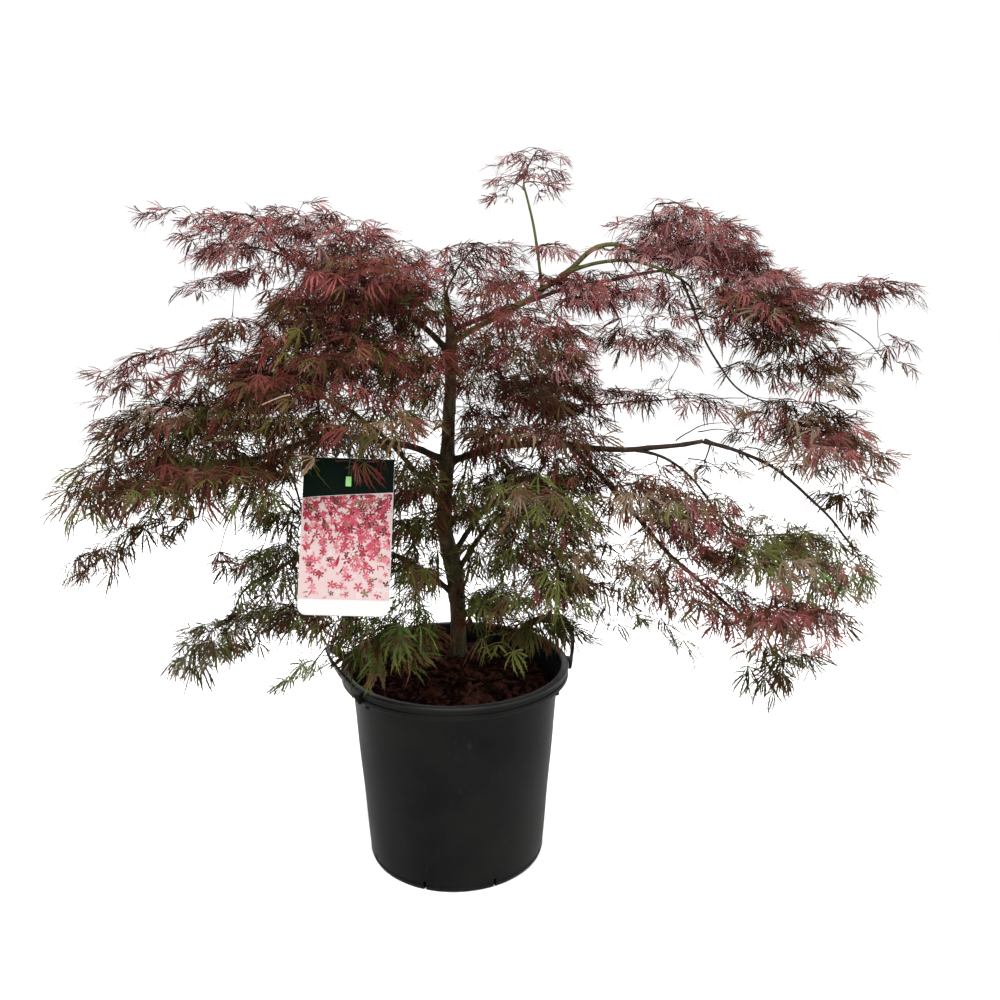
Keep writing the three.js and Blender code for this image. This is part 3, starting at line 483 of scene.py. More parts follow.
def mulch_material(name, low, high):
    m, nt, bsdf = material(name)
    n1 = noise_at(nt, 90, 5, 0.65)
    nt.links.new(mixed(nt, ranged(nt, n1, 0.35, 0.68, 0, 1), low, high), bsdf.inputs["Base Color"])
    bsdf.inputs["Roughness"].default_value = 0.9
    bsdf.inputs["Specular IOR Level"].default_value = 0.02
    bump(nt, bsdf, n1, 0.6, 0.0015)
    return m


def card_material(name, colour, rough=0.32, spread=0.08, shine=0.1):
    m, nt, bsdf = material(name)
    n1 = noise_at(nt, 40, 2)
    low = tuple(c * (1 - spread) for c in colour)
    nt.links.new(mixed(nt, n1, low, colour), bsdf.inputs["Base Color"])
    bsdf.inputs["Roughness"].default_value = rough
    bsdf.inputs["Specular IOR Level"].default_value = shine
    return m


# ------------------------------------------------------------------------- pot
def lathe(pile, profile, around, close=True):
    """Turns (radius, height) points about Z; ends on the axis if a radius is 0."""
    ang = 2 * np.pi * np.arange(around) / around
    base = pile.count
    verts, rings = [], []
    for r, z in profile:
        if r < 1e-6:
            rings.append((len(verts), 1))
            verts.append((0, 0, z))
        else:
            rings.append((len(verts), around))
            verts.extend(zip(r * np.cos(ang), r * np.sin(ang), np.full(around, z)))
    tris, quads = [], []
    for (a, na), (b, nb) in zip(rings, rings[1:]):
        for i in range(around):
            j = (i + 1) % around
            if na == 1:
                tris.append((a, b + j, b + i))
            elif nb == 1:
                tris.append((a + i, a + j, b))
            else:
                quads.append((a + i, a + j, b + j, b + i))
    pile.add(verts, tris, quads)


def arc(cx, cz, r, a0, a1, n):
    return [(cx + r * math.cos(math.radians(a)), cz + r * math.sin(math.radians(a))) for a in np.linspace(a0, a1, n)]


plastic = plastic_material("pot_plastic")
P = POT
neck_z = P["height"] - P["band"]
slope = (P["neck"] - P["base"]) / neck_z
profile = [(0, 0.0), (30, 0.0), (P["base"] - 5, 0.0)]
profile += arc(P["base"] - 3.2, 3.2, 3.2, -90, -8, 6)
profile += [(P["base"] + 0.9, 6.0), (P["base"] + 0.2, 7.2)]          # foot line
for z in np.linspace(12, neck_z - 9, 16):
    profile.append((P["base"] + slope * z + 0.25 * math.sin(z * 0.055), z))
profile += [(P["neck"] - 0.6, neck_z - 5), (P["neck"] + 0.5, neck_z - 2.4), (P["neck"] + 3.2, neck_z - 0.6)]
profile += arc(P["rim"] - 2.0, neck_z + 1.6, 1.6, -90, 0, 5)           # band, groove and rolled lip
profile += [(P["rim"] - 0.5, neck_z + 5.4), (P["rim"] - 1.6, neck_z + 6.4), (P["rim"] - 1.5, neck_z + 7.2),
            (P["rim"] - 0.3, neck_z + 8.2)]
profile += arc(P["rim"] - 3.0, P["height"] - 3.0, 3.0, 0, 90, 6)
profile += arc(P["mouth"] + 2.6, P["height"] - 2.6, 2.6, 90, 180, 6)
profile += [(P["mouth"] - 1.2, neck_z + 3), (P["neck"] - P["wall"], neck_z - 4)]
for z in (170, 110, 50):
    profile.append((P["base"] + slope * z - P["wall"], z))
profile += [(P["base"] - P["wall"], P["floor"]), (0, P["floor"])]
pile = Pile()
lathe(pile, profile, 144)
pot = pile.object("pot_shell", plastic, smooth=True)


def soften(ob, angle=38):
    """Smooth faces with creases kept where the surface really turns."""
    mesh = ob.data
    for poly in mesh.polygons:
        poly.use_smooth = True
    mesh.set_sharp_from_angle(angle=math.radians(angle))


def cutter_box(centre, size, turn):
    c = np.array([[sx, sy, sz] for sx in (-0.5, 0.5) for sy in (-0.5, 0.5) for sz in (-0.5, 0.5)]) * size
    ct, st = math.cos(turn), math.sin(turn)
    c = np.stack([c[:, 0] * ct - c[:, 1] * st, c[:, 0] * st + c[:, 1] * ct, c[:, 2]], -1) + centre
    quads = [(0, 1, 3, 2), (4, 6, 7, 5), (0, 4, 5, 1), (2, 3, 7, 6), (0, 2, 6, 4), (1, 5, 7, 3)]
    return c, quads


# drain slots through the foot: eight, cut out of the wall
cut = Pile()
for k in range(8):
    a = math.radians(22.5 + 45 * k + 1.5)
    rad = P["base"] - 1.0
    c, q = cutter_box(np.array([rad * math.cos(a), rad * math.sin(a), 4.6]), np.array([14.0, 3.4, 15.0]), a)
    cut.add(c, None, q)
cutter = cut.object("slot_cutter", plastic)
mod = pot.modifiers.new("slots", "BOOLEAN")
mod.operation, mod.object, mod.solver = "DIFFERENCE", cutter, "EXACT"
bpy.context.view_layer.update()
baked = bpy.data.meshes.new_from_object(pot.evaluated_get(bpy.context.evaluated_depsgraph_get()))
pot.modifiers.clear()
pot.data = baked
bpy.data.objects.remove(cutter)
soften(pot)
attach(pot, "root")
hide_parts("pot")


def grip_mesh(bearing, name, cad):
    """A flared strap that leaves the rim, swings out and up, and comes back."""
    g = GRIP
    n, section = 40, 16
    pts = []
    for k in range(n + 1):
        s = k / n
        arch = math.sin(math.pi * s) ** 0.75
        ang = math.radians(bearing + (2 * s - 1) * g["spread"])
        inner = P["rim"] + 0.45 + g["reach"] * arch
        low = g["mid"] - g["end"] / 2 + g["lift"] * arch
        tall = g["end"] + (g["height"] - g["end"]) * arch
        for q in range(section):
            a = 2 * math.pi * q / section
            cx = math.copysign(abs(math.cos(a)) ** 0.35, math.cos(a))
            cz = math.copysign(abs(math.sin(a)) ** 0.35, math.sin(a))
            h = (cz + 1) / 2
            r = inner + g["thick"] * (cx + 1) / 2 * (1 + 0.25 * (1 - arch)) + g["splay"] * arch * h
            pts.append((r * math.cos(ang), r * math.sin(ang), low + tall * h))
    pts = np.array(pts)
    quads = []
    for k in range(n):
        for q in range(section):
            j = (q + 1) % section
            quads.append((k * section + q, (k + 1) * section + q, (k + 1) * section + j, k * section + j))
    tris = []
    for ring, flip in ((0, False), (n, True)):
        c = len(pts)
        pts = np.concatenate([pts, pts[ring * section:(ring + 1) * section].mean(0)[None]])
        for q in range(section):
            j = (q + 1) % section
            face = (c, ring * section + q, ring * section + j)
            tris.append(face[::-1] if flip else face)
    pile = Pile()
    pile.add(pts, tris, quads)
    # two gussets tie the strap's ends to the rim, and a peg sits under each
    for end in (-1, 1):
        ang = math.radians(bearing + end * (g["spread"] - 2.0))
        c, q = cutter_box(np.array([(P["rim"] + 0.2) * math.cos(ang), (P["rim"] + 0.2) * math.sin(ang), g["mid"]]),
                          np.array([4.6, 9.0, 14.0]), ang)
        pile.add(c, None, q)
        ang = math.radians((0 if bearing < 90 else 180) + PEGS[0] + end * PEGS[1])
        ring = []
        centre = np.array([(P["neck"] + 6.0) * math.cos(ang), (P["neck"] + 6.0) * math.sin(ang)])
        peg = [(0.01, neck_z - 7.5), (2.6, neck_z - 7.2), (3.4, neck_z - 6), (3.6, neck_z + 0.5), (0.01, neck_z + 0.6)]
        seg = 12
        verts = [(centre[0] + r * math.cos(2 * math.pi * i / seg), centre[1] + r * math.sin(2 * math.pi * i / seg), z)
                 for r, z in peg for i in range(seg)]
        quads = [(k * seg + i, k * seg + (i + 1) % seg, (k + 1) * seg + (i + 1) % seg, (k + 1) * seg + i)
                 for k in range(len(peg) - 1) for i in range(seg)]
        pile.add(verts, None, quads)
    ob = pile.object(name, plastic, smooth=True)
    soften(ob, 42)
    bev = ob.modifiers.new("edge", "BEVEL")
    bev.width, bev.segments, bev.limit_method, bev.angle_limit = 0.0007, 2, "ANGLE", math.radians(50)
    bpy.context.view_layer.update()
    baked = bpy.data.meshes.new_from_object(ob.evaluated_get(bpy.context.evaluated_depsgraph_get()))
    ob.modifiers.clear()
    ob.data = baked
    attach(ob, "root")
    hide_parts(cad)
    return ob


grip_mesh(GRIP["bearing"], "grip_strap_right", "grip_right")
grip_mesh(GRIP["left"], "grip_strap_left", "grip_left")


# ------------------------------------------------------------------------ soil
def soil_level(x, y):
    """Height of the mulch: a mound round the trunk's foot, lower at the wall."""
    wall = 124.0
    d = math.hypot(x - FOOT[0], y - FOOT[1])
    away = math.hypot(x, y)
    t = min(1.0, max(0.0, (d - SOIL["spot_radius"]) / max(1.0, wall - SOIL["spot_radius"])))
    edge = min(1.0, max(0.0, (away - 95) / 30))
    level = SOIL["spot"] + (SOIL["edge"] - SOIL["spot"]) * math.sin(math.pi / 2 * t)
    return level - 3 * edge * (1 - t)


def rough(x, y, z, scale, seed=0.0):
    return noise.noise(Vector((x * scale + seed, y * scale - seed, z * scale + 1.7 * seed)))


mulch_dark = mulch_material("mulch_dark", (0.0022, 0.0008, 0.0005), (0.0100, 0.0034, 0.0022))
mulch_red = mulch_material("mulch_red", (0.0080, 0.0026, 0.0018), (0.040, 0.0135, 0.0090))
pile = Pile()
rings_n, around = 34, 96
verts = []
for k in range(rings_n + 1):
    r = 123.4 * k / rings_n
    for i in range(around):
        a = 2 * math.pi * i / around
        x, y = r * math.cos(a), r * math.sin(a)
        z = soil_level(x, y) - 1.5
        if math.hypot(x - FOOT[0], y - FOOT[1]) > 12:
            z += 3.0 * rough(x, y, 0, 0.06) + 1.6 * rough(x, y, 3, 0.19)
        verts.append((x, y, min(z, 236.4)))
quads = [(k * around + i, (k + 1) * around + i, (k + 1) * around + (i + 1) % around, k * around + (i + 1) % around)
         for k in range(1, rings_n) for i in range(around)]
tris = []
for i in range(around):
    tris.append((0, around + i, around + (i + 1) % around))
base = len(verts)
for i in range(around):
    a = 2 * math.pi * i / around
    verts.append((121.4 * math.cos(a), 121.4 * math.sin(a), 200))
last = rings_n * around
quads += [(last + i, base + i, base + (i + 1) % around, last + (i + 1) % around) for i in range(around)]
verts.append((0, 0, 200))
tris += [(len(verts) - 1, base + (i + 1) % around, base + i) for i in range(around)]
pile.add(verts, tris, quads)
mulch_bed = pile.object("mulch_bed", mulch_dark, smooth=True)
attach(mulch_bed, "root")
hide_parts("soil")


def chips(name, count, mat, sizes, lift):
    pile = Pile()
    box = np.array([[sx, sy, sz] for sx in (-1, 1) for sy in (-1, 1) for sz in (-1, 1)], dtype=float) * 0.5
    quads = [(0, 1, 3, 2), (4, 6, 7, 5), (0, 4, 5, 1), (2, 3, 7, 6), (0, 2, 6, 4), (1, 5, 7, 3)]
    made = 0
    while made < count:
        r, a = 121 * math.sqrt(rng.random()), rng.random() * 2 * math.pi
        x, y = r * math.cos(a), r * math.sin(a)
        length = rng.uniform(*sizes)
        if math.hypot(x - FOOT[0], y - FOOT[1]) < 17 or r + length / 2 > 124:
            continue
        shape = box * np.array([length, length * rng.uniform(0.25, 0.6), length * rng.uniform(0.1, 0.28)])
        shape = shape * (1 + rng.uniform(-0.28, 0.28, shape.shape))
        yaw, pitch, roll = rng.random() * 2 * math.pi, rng.normal(0, 0.32), rng.normal(0, 0.4)
        cz, sz, cy, sy, cx, sx = (math.cos(yaw), math.sin(yaw), math.cos(pitch), math.sin(pitch), math.cos(roll), math.sin(roll))
        rot = np.array([[cz, -sz, 0], [sz, cz, 0], [0, 0, 1]]) @ np.array([[cy, 0, sy], [0, 1, 0], [-sy, 0, cy]]) \
            @ np.array([[1, 0, 0], [0, cx, -sx], [0, sx, cx]])
        pile.add(shape @ rot.T + (x, y, soil_level(x, y) + lift * rng.uniform(0.2, 1.0)), None, quads)
        made += 1
    ob = pile.object(name, mat)
    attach(ob, "root")
    return ob


chips("mulch_chips_dark", 900, mulch_dark, (5, 17), 3.2)
chips("mulch_chips_red", 620, mulch_red, (5, 20), 4.2)


# ----------------------------------------------------------------------- limbs
def limb_points(name, count):
    root, tip, rise, wave, bow, _, _ = LIMBS[name]
    s = np.linspace(0, 1, count)[:, None]
    root, tip = np.array(root, float), np.array(tip, float)
    pts = root + (tip - root) * s
    chord = tip - root
    sideways = unit(np.array([-chord[1], chord[0], 0.0]))
    pts[:, 2] += (rise * np.sin(np.pi * s) + wave * np.sin(2 * np.pi * s))[:, 0]
    return pts + sideways * (bow * np.sin(np.pi * s))


def wander(pts, amount, scale, seed, hold=0.12):
    """Small uneven bends, none at the ends."""
    n = len(pts)
    fade = np.minimum(1, np.minimum(np.arange(n), np.arange(n)[::-1]) / max(1, hold * n))
    off = np.array([[rough(p[0], p[1], p[2], scale, seed + 11 * k) for k in range(3)] for p in pts])
    return pts + off * amount * fade[:, None]


def bark_relief(pts, radii, around, seed, depth, knots):
    """Long shallow ridges, low scars where leaves stood, and small bumps."""
    n = len(pts)
    length = np.concatenate([[0], np.cumsum(np.linalg.norm(np.diff(pts, axis=0), axis=1))])
    out = np.zeros((n, around))
    for k in range(n):
        for i in range(around):
            a = 2 * math.pi * i / around
            ca, sa = math.cos(a), math.sin(a)
            out[k, i] = depth * (0.9 * noise.noise(Vector((2.4 * ca + seed, 2.4 * sa, length[k] * 0.018)))
                                 + 0.5 * noise.noise(Vector((5.5 * ca, 5.5 * sa - seed, length[k] * 0.07))))
    for at, size in knots:
        out += (size * np.exp(-((length - at * length[-1]) / 2.6) ** 2))[:, None]
    return out * np.minimum(1.0, np.asarray(radii) / 2.5)[:, None]


bark_brown = bark_material("bark_brown", (0.0070, 0.0048, 0.0023), (0.052, 0.038, 0.0195), (0.028, 0.028, 0.0120))
bark_bough = bark_material("bark_bough", (0.0056, 0.0036, 0.0023), (0.0215, 0.0150, 0.0098), (0.021, 0.0115, 0.0080))
bark_green = bark_material("bark_green", (0.026, 0.034, 0.0080), (0.066, 0.072, 0.024), (0.050, 0.034, 0.0160))

trunk_knots = np.array([(t[1], t[2], t[0]) for t in TRUNK], float)
trunk_pts = catmull(trunk_knots, 210)
trunk_r = np.interp(np.linspace(0, len(TRUNK) - 1, 210), np.arange(len(TRUNK)), [t[3] for t in TRUNK])
trunk_pts[:, :2] += np.array([[1.1 * rough(p[0], p[1], p[2], 0.02, 3), 1.1 * rough(p[0], p[1], p[2], 0.02, 8)] for p in trunk_pts]) \
    * np.clip((trunk_pts[:, 2:3] - GROUND) / 60, 0, 1)
height = trunk_pts[:, 2] - GROUND
ang = 2 * np.pi * np.arange(28) / 28
flare = FLARE * np.clip(1 - height / FLARE_HEIGHT, 0, 1) ** 2
lobes = 1 + 0.35 * np.sin(3 * ang + 0.6) + 0.2 * np.sin(5 * ang)
relief = bark_relief(trunk_pts, trunk_r, 28, 4.2, 0.75, [(0.06, 0.4), (0.2, 0.7), (0.38, 0.6), (0.56, 0.7), (0.7, 0.6), (0.83, 0.5), (0.92, 0.4)])
relief = np.minimum(relief, 1.1) + flare[:, None] * lobes[None]
# swellings where the boughs leave
for name in LIMBS:
    root = np.array(LIMBS[name][0], float)
    near = np.argmin(np.linalg.norm(trunk_pts - root, axis=1))
    if np.linalg.norm(trunk_pts[near] - root) < 12:
        tip = limb_points(name, 12)[3] - root
        _, s, o = frames(trunk_pts)
        bearing = math.atan2(np.dot(tip, o[near]), np.dot(tip, s[near]))
        gap = np.arctan2(np.sin(ang - bearing), np.cos(ang - bearing))
        along = np.exp(-((trunk_pts[:, 2] - root[2]) / 9.0) ** 2)
        relief += 1.7 * along[:, None] * np.exp(-(gap / 0.9) ** 2)[None]
pile = Pile()
tube(pile, trunk_pts, trunk_r, 28, relief)
trunk = pile.object("bark_trunk", bark_brown, smooth=True)
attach(trunk, "root")
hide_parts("trunk")

skins = {"brown": Pile(), "green": Pile()}
limb_nodes = []  # (point, direction, radius, name, bonus) that shoots may leave from
for q, name in enumerate(LIMBS):
    radii = LIMBS[name][5]
    count = max(24, int(np.linalg.norm(np.subtract(LIMBS[name][1], LIMBS[name][0])) / 3.2))
    pts = wander(limb_points(name, count), 3.2, 0.018, 2.0 + q)
    s = np.linspace(0, 1, count)
    r = radii[0] + (radii[1] - radii[0]) * s
    length = np.linalg.norm(np.diff(pts, axis=0), axis=1).sum()
    r = r + radii[0] * 0.45 * np.exp(-(s * length / 9.0) ** 2)
    knots = [(k, 0.35) for k in np.arange(0.12, 0.98, 42.0 / length)]
    around = 14
    rel = bark_relief(pts, r, around, 1.3 * q + 0.5, 0.34, knots)
    tube(skins[LIMBS[name][6]], pts, r, around, rel)
    tang = np.gradient(pts, axis=0)
    for k in range(int(0.2 * count), count - 1, 2):
        limb_nodes.append((pts[k], tang[k], r[k], name, 0.0))
    limb_nodes.append((pts[-1] - unit(tang[-1]) * 1.0, tang[-1], r[-1], name, 45.0))
for k in range(70, 210, 4):
    limb_nodes.append((trunk_pts[k], np.array([0, 0, 1.0]), trunk_r[k], "trunk", 45.0 if k > 205 else 0.0))

boughs = skins["brown"].object("bark_boughs", bark_bough, smooth=True)
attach(boughs, "root")
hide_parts(*[n for n in LIMBS if LIMBS[n][6] == "brown"])
shoots = skins["green"].object("bark_shoots", bark_green, smooth=True)
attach(shoots, "root")
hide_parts(*[n for n in LIMBS if LIMBS[n][6] == "green"])


# ------------------------------------------------------------------- leaf kinds
def leaf_kind(count, droop, seed):
    """One dissected leaf: slender lobes from one point, each with side teeth.

    The middle lobe is 1 long along +X, +Z is the upper face. The faces come in
    two lots, the leaf's heart and the outer ends of its lobes."""
    lr = np.random.default_rng(seed)
    bearings = {9: (0, 18, 38, 60, 92), 7: (0, 22, 46, 78), 5: (0, 28, 62)}[count]
    reaches = {9: (1.0, 0.97, 0.86, 0.66, 0.4), 7: (1.0, 0.95, 0.8, 0.5), 5: (1.0, 0.9, 0.62)}[count]
    verts, heart, ends = [], [], []
    for k, (bearing, reach) in enumerate(zip(bearings, reaches)):
        for side in ((0,) if k == 0 else (-1, 1)):
            a = math.radians(side * bearing + lr.normal(0, 5))
            length = reach * lr.uniform(0.84, 1.1)
            bend = lr.normal(0, 0.22) - 0.3 * side
            fall = droop * lr.uniform(0.4, 1.6)
            lift = lr.uniform(-0.1, 0.16)
            stations = (0.0, 0.32, 0.66, 1.0)
            width = (0.008, 0.026, 0.027, 0.0) if reach > 0.5 else (0.008, 0.022, 0.020, 0.0)

            def axis(s):
                t = a + bend * s
                d = s * length
                return np.array([d * math.cos(t), d * math.sin(t), lift * d - fall * d ** 1.8])

            def across(s):
                t = a + bend * s
                return np.array([-math.sin(t), math.cos(t), 0.0])

            base = len(verts)
            for s, w in zip(stations, width):
                c, n = axis(s), across(s)
                if w == 0:
                    verts.append(c)
                else:
                    verts.extend((c + n * w, c - n * w))
            heart += [(base, base + 1, base + 3), (base, base + 3, base + 2)]
            ends += [(base + 2, base + 3, base + 5), (base + 2, base + 5, base + 4), (base + 4, base + 5, base + 6)]
            teeth = (0.36, 0.54, 0.74) if reach > 0.8 else (0.40, 0.62, 0.8) if reach > 0.55 else (0.5, 0.74)
            for s in teeth:
                for hand in (-1, 1):
                    s1 = s + 0.04 * hand
                    c, n = axis(s1), across(s1) * hand
                    w = float(np.interp(s1, stations, width)) * 0.7
                    fwd = unit(axis(min(1, s1 + 0.05)) - c)
                    long = (0.130 - 0.10 * abs(s1 - 0.5)) * lr.uniform(0.6, 1.2) * (0.6 + 0.4 * reach)
                    base = len(verts)
                    tip = c + n * w + (n * 0.5 + fwd * 0.86) * long
                    tip[2] -= 0.12 * long
                    verts += [c + n * w - fwd * 0.024, c + n * w + fwd * 0.028, tip]
                    (heart if s < 0.5 else ends).append((base, base + 1, base + 2) if hand < 0 else (base, base + 2, base + 1))
    verts = np.array(verts)
    parts = []
    for lot in (heart, ends):
        used, flat = np.unique(np.array(lot), return_inverse=True)
        parts.append((verts[used], flat.reshape(-1, 3)))
    return parts


KINDS = [leaf_kind(c, d, 100 + 7 * i) for i, (c, d) in enumerate(
    [(7, 0.15), (7, 0.3), (7, 0.5), (5, 0.25), (7, 0.7), (9, 0.3), (9, 0.5), (5, 0.4), (7, 0.4), (7, 0.1), (7, 0.55),
     (5, 0.6), (7, 0.85), (5, 0.1), (7, 0.35), (9, 0.15)])]


# ----------------------------------------------------------------- branching rule
def seeded(seed, k):
    v = math.sin(seed * 12.9898 + k * 78.233) * 43758.5453
    return 2 * math.pi * (v - math.floor(v))


class Mass:
    def __init__(self, index, row):
        (self.name, at, half, turn, self.droop, self.lean, self.lobe, self.palette, self.fill, self.hang, self.layers) = row
        self.index = index
        self.at = np.array(at, float)
        self.a, self.b, self.t = half
        self.turn = math.radians(turn)
        self.hem = self.droop / 2

    def swell(self, phi):
        i = self.index
        s = 1 + UNEVEN * (0.5 * math.sin(2 * phi + seeded(i, 1)) + 0.35 * math.sin(3 * phi + seeded(i, 2))
                          + 0.3 * math.sin(5 * phi + seeded(i, 3)))
        if self.lobe:
            off = math.atan2(math.sin(phi - math.radians(self.lobe[0])), math.cos(phi - math.radians(self.lobe[0])))
            s += self.lobe[1] * math.exp(-((off / 0.42) ** 2))
        return s

    def rho(self, x, y):
        phi = math.atan2(y / self.b, x / self.a)
        return math.hypot(x / self.a, y / self.b) / self.swell(phi)

    def height(self, x, y, layer):
        """Height over the middle of a shoot that runs in this layer, -1 to 1."""
        r = min(1.0, self.rho(x, y))
        phi = math.atan2(y / self.b, x / self.a)
        mid = self.hem - self.droop * min(1.35, r * r * self.swell(phi)) + self.lean * x
        return mid + layer * self.t * math.sqrt(max(0.05, 1 - r * r))

    def world(self, x, y, z):
        c, s = math.cos(self.turn), math.sin(self.turn)
        return self.at + np.array([x * c - y * s, x * s + y * c, z])

    def local(self, p):
        d = np.asarray(p) - self.at
        c, s = math.cos(self.turn), math.sin(self.turn)
        return np.array([d[0] * c + d[1] * s, -d[0] * s + d[1] * c, d[2]])

    def reach(self, x, y, dx, dy, edge):
        """How far one can go from (x, y) along (dx, dy) before rho passes edge."""
        far = 0.0
        while far < 400:
            if self.rho(x + dx * (far + 4), y + dy * (far + 4)) > edge:
                return far
            far += 4.0
        return far


twigs = {"brown": Pile(), "green": Pile()}
pale = Pile()
leaves = []   # (point of the blade's foot, forward, up, size, tint, kind)
stalks = []   # (from, to, tint)


def is_open(p):
    for c, h in OPEN:
        if sum(((p[k] - c[k]) / h[k]) ** 2 for k in range(3)) < 1:
            return True
    return False


CP, SP = math.cos(math.radians(LABEL["pitch"])), math.sin(math.radians(LABEL["pitch"]))
CR, SR = math.cos(math.radians(LABEL["roll"])), math.sin(math.radians(LABEL["roll"]))


def label_world(x, y, z):
    """From the card's own frame, x across, z up, y behind, to the row frame."""
    x1, z1 = x * CR + z * SR, -x * SR + z * CR
    return np.array([x1, y * CP - z1 * SP, y * SP + z1 * CP]) + LABEL["at"]


def label_local(p):
    d = np.asarray(p) - LABEL["at"]
    y, z1 = d[1] * CP + d[2] * SP, -d[1] * SP + d[2] * CP
    return np.array([d[0] * CR - z1 * SR, y, d[0] * SR + z1 * CR])


def blocked(p):
    """True where a leaf would stand in front of the card, in the pot, or in an open space."""
    if is_open(p):
        return True
    q = label_local(p)
    if abs(q[0]) < 52 and -112 < q[2] < 50 and -260 < q[1] < 16:
        return True
    if abs(q[0]) < 50 and -112 < q[2] < 88 and -260 < q[1] < 12 and rng.random() < 0.5:
        return True
    r = math.hypot(p[0], p[1])
    if p[2] < 258 and r < 150 and p[2] > 200:
        return True
    return p[2] < 30


def leaf_pair(p, d, size, hang, tint, single=False):
    """Two opposite leaves at a node of a shoot that runs along d, or one at its tip."""
    flat = unit(np.array([d[0], d[1], 0.0]) + 1e-6)
    across = np.array([-flat[1], flat[0], 0.0])
    for side in ((0,) if single else (-1, 1)):
        if rng.random() < 0.05:
            continue
        aim = unit(flat * (1.0 if side == 0 else rng.uniform(0.2, 0.8)) + across * (side * rng.uniform(0.6, 1.0) + rng.normal(0, 0.2))
                   + UP * rng.uniform(-0.3, 0.35) * (1 - 0.5 * hang))
        stalk = PETIOLE * size * rng.uniform(0.5, 1.15)
        foot = p + aim * stalk - UP * stalk * rng.uniform(0.0, 0.3)
        head = unit(np.array([aim[0], aim[1], 0.0]) + flat * 0.45)
        if blocked(foot + unit(np.array([head[0], head[1], -0.4])) * 16):
            continue
        pitch = math.radians(np.clip(rng.normal(1 + 50 * hang, 19), -28, 84))
        fwd = head * math.cos(pitch) - UP * math.sin(pitch)
        up = head * math.sin(pitch) + UP * math.cos(pitch)
        up = unit(up + np.cross(fwd, up) * rng.normal(0, 0.5))
        up = unit(up - fwd * np.dot(up, fwd))
        leaves.append((foot, fwd, up, LEAF_LENGTH * size * rng.uniform(0.72, 1.25), tint, int(rng.integers(len(KINDS)))))
        stalks.append((p, foot, tint))


def pick(table):
    names = list(table)
    w = np.array([table[n] for n in names], float)
    return names[int(rng.choice(len(names), p=w / w.sum()))]


sprays = []   # palette name of each spray, in order; a leaf names its spray


def spray_of(palette):
    sprays.append(palette)
    return len(sprays) - 1


def dress(pts, start, size, hang, tint, step=NODE_STEP):
    """Leaf pairs along a shoot from a share of its length to its tip."""
    grain = GRAIN.get(sprays[tint], 1.0)
    size, step = size * grain, step * grain
    seg = np.linalg.norm(np.diff(pts, axis=0), axis=1)
    length = np.concatenate([[0], np.cumsum(seg)])
    at = length[-1] * start + rng.uniform(0, step * 0.6)
    while at < length[-1] - 5:
        k = min(len(pts) - 2, int(np.searchsorted(length, at, side="right") - 1))
        f = (at - length[k]) / max(1e-6, seg[k])
        p = pts[k] + (pts[k + 1] - pts[k]) * f
        leaf_pair(p, pts[k + 1] - pts[k], size * (1.0 - 0.18 * at / length[-1]), hang, tint)
        at += step * rng.uniform(0.75, 1.25)
    leaf_pair(pts[-1], pts[-1] - pts[-2], size * 0.86, hang, tint)
    leaf_pair(pts[-1], pts[-1] - pts[-2], size * 0.86, hang, tint, single=True)


class Skeleton:
    """Everything that a shoot may leave from: points, directions, radii, uses."""

    def __init__(self):
        self.rows, self.used, self.cache = [], [], None

    def add(self, p, d, r, kind, bonus=0.0):
        self.rows.append((np.asarray(p, float), unit(np.asarray(d, float)), r, kind, bonus))
        self.used.append(0)
        self.cache = None

    def arrays(self):
        if self.cache is None:
            self.cache = (np.array([q[0] for q in self.rows]), np.array([q[1] for q in self.rows]),
                          np.array([q[2] for q in self.rows]), np.array([q[4] for q in self.rows]))
        return self.cache

    def best(self, target, first=False):
        p, d, r, bonus = self.arrays()
        gap = target - p
        dist = np.linalg.norm(gap, axis=1) + 1e-6
        heading = gap / dist[:, None]
        radial = np.hypot(p[:, 0] - FOOT[0], p[:, 1] - FOOT[1])
        away = math.hypot(target[0] - FOOT[0], target[1] - FOOT[1])
        cost = dist * (1 + 0.45 * (1 - (heading * d).sum(1))) + 0.75 * np.maximum(0, radial - away + (20 if first else 4))
        cost += 0.45 * np.maximum(0, target[2] - p[:, 2] - 12) + 0.3 * np.maximum(0, p[:, 2] - target[2] - 40)
        cost += 11.0 * np.array(self.used) - bonus * (1.0 if first else 0.5)
        if not first:
            cost += np.where(r > 3.0, 26, 0)
        k = int(np.argmin(cost))
        self.used[k] += 1
        return self.rows[k]


skeleton = Skeleton()
for p, d, r, name, bonus in limb_nodes:
    skeleton.add(p, d, r, name, bonus)


def bend_shoot(p, d, q, rise, sag, step=8.0):
    """A shoot from p, where its parent runs along d, over to q."""
    length = float(np.linalg.norm(q - p))
    out = unit(q - p)
    c = p + unit(d * 0.8 + out * 0.9 + UP * 0.25) * length * 0.42 + UP * rise * length
    n = max(4, int(length / step) + 1)
    t = np.linspace(0, 1, n)[:, None]
    pts = (1 - t) ** 2 * p + 2 * t * (1 - t) * c + t ** 2 * q
    pts = pts - UP * (sag * length * t ** 3)
    side = unit(np.array([-out[1], out[0], 0.0]))
    return pts + side * (rng.normal(0, 0.045) * length) * np.sin(np.pi * t)


def twig_bin(palette):
    return twigs["green" if palette in ("green", "rim", "fan") else "brown"]


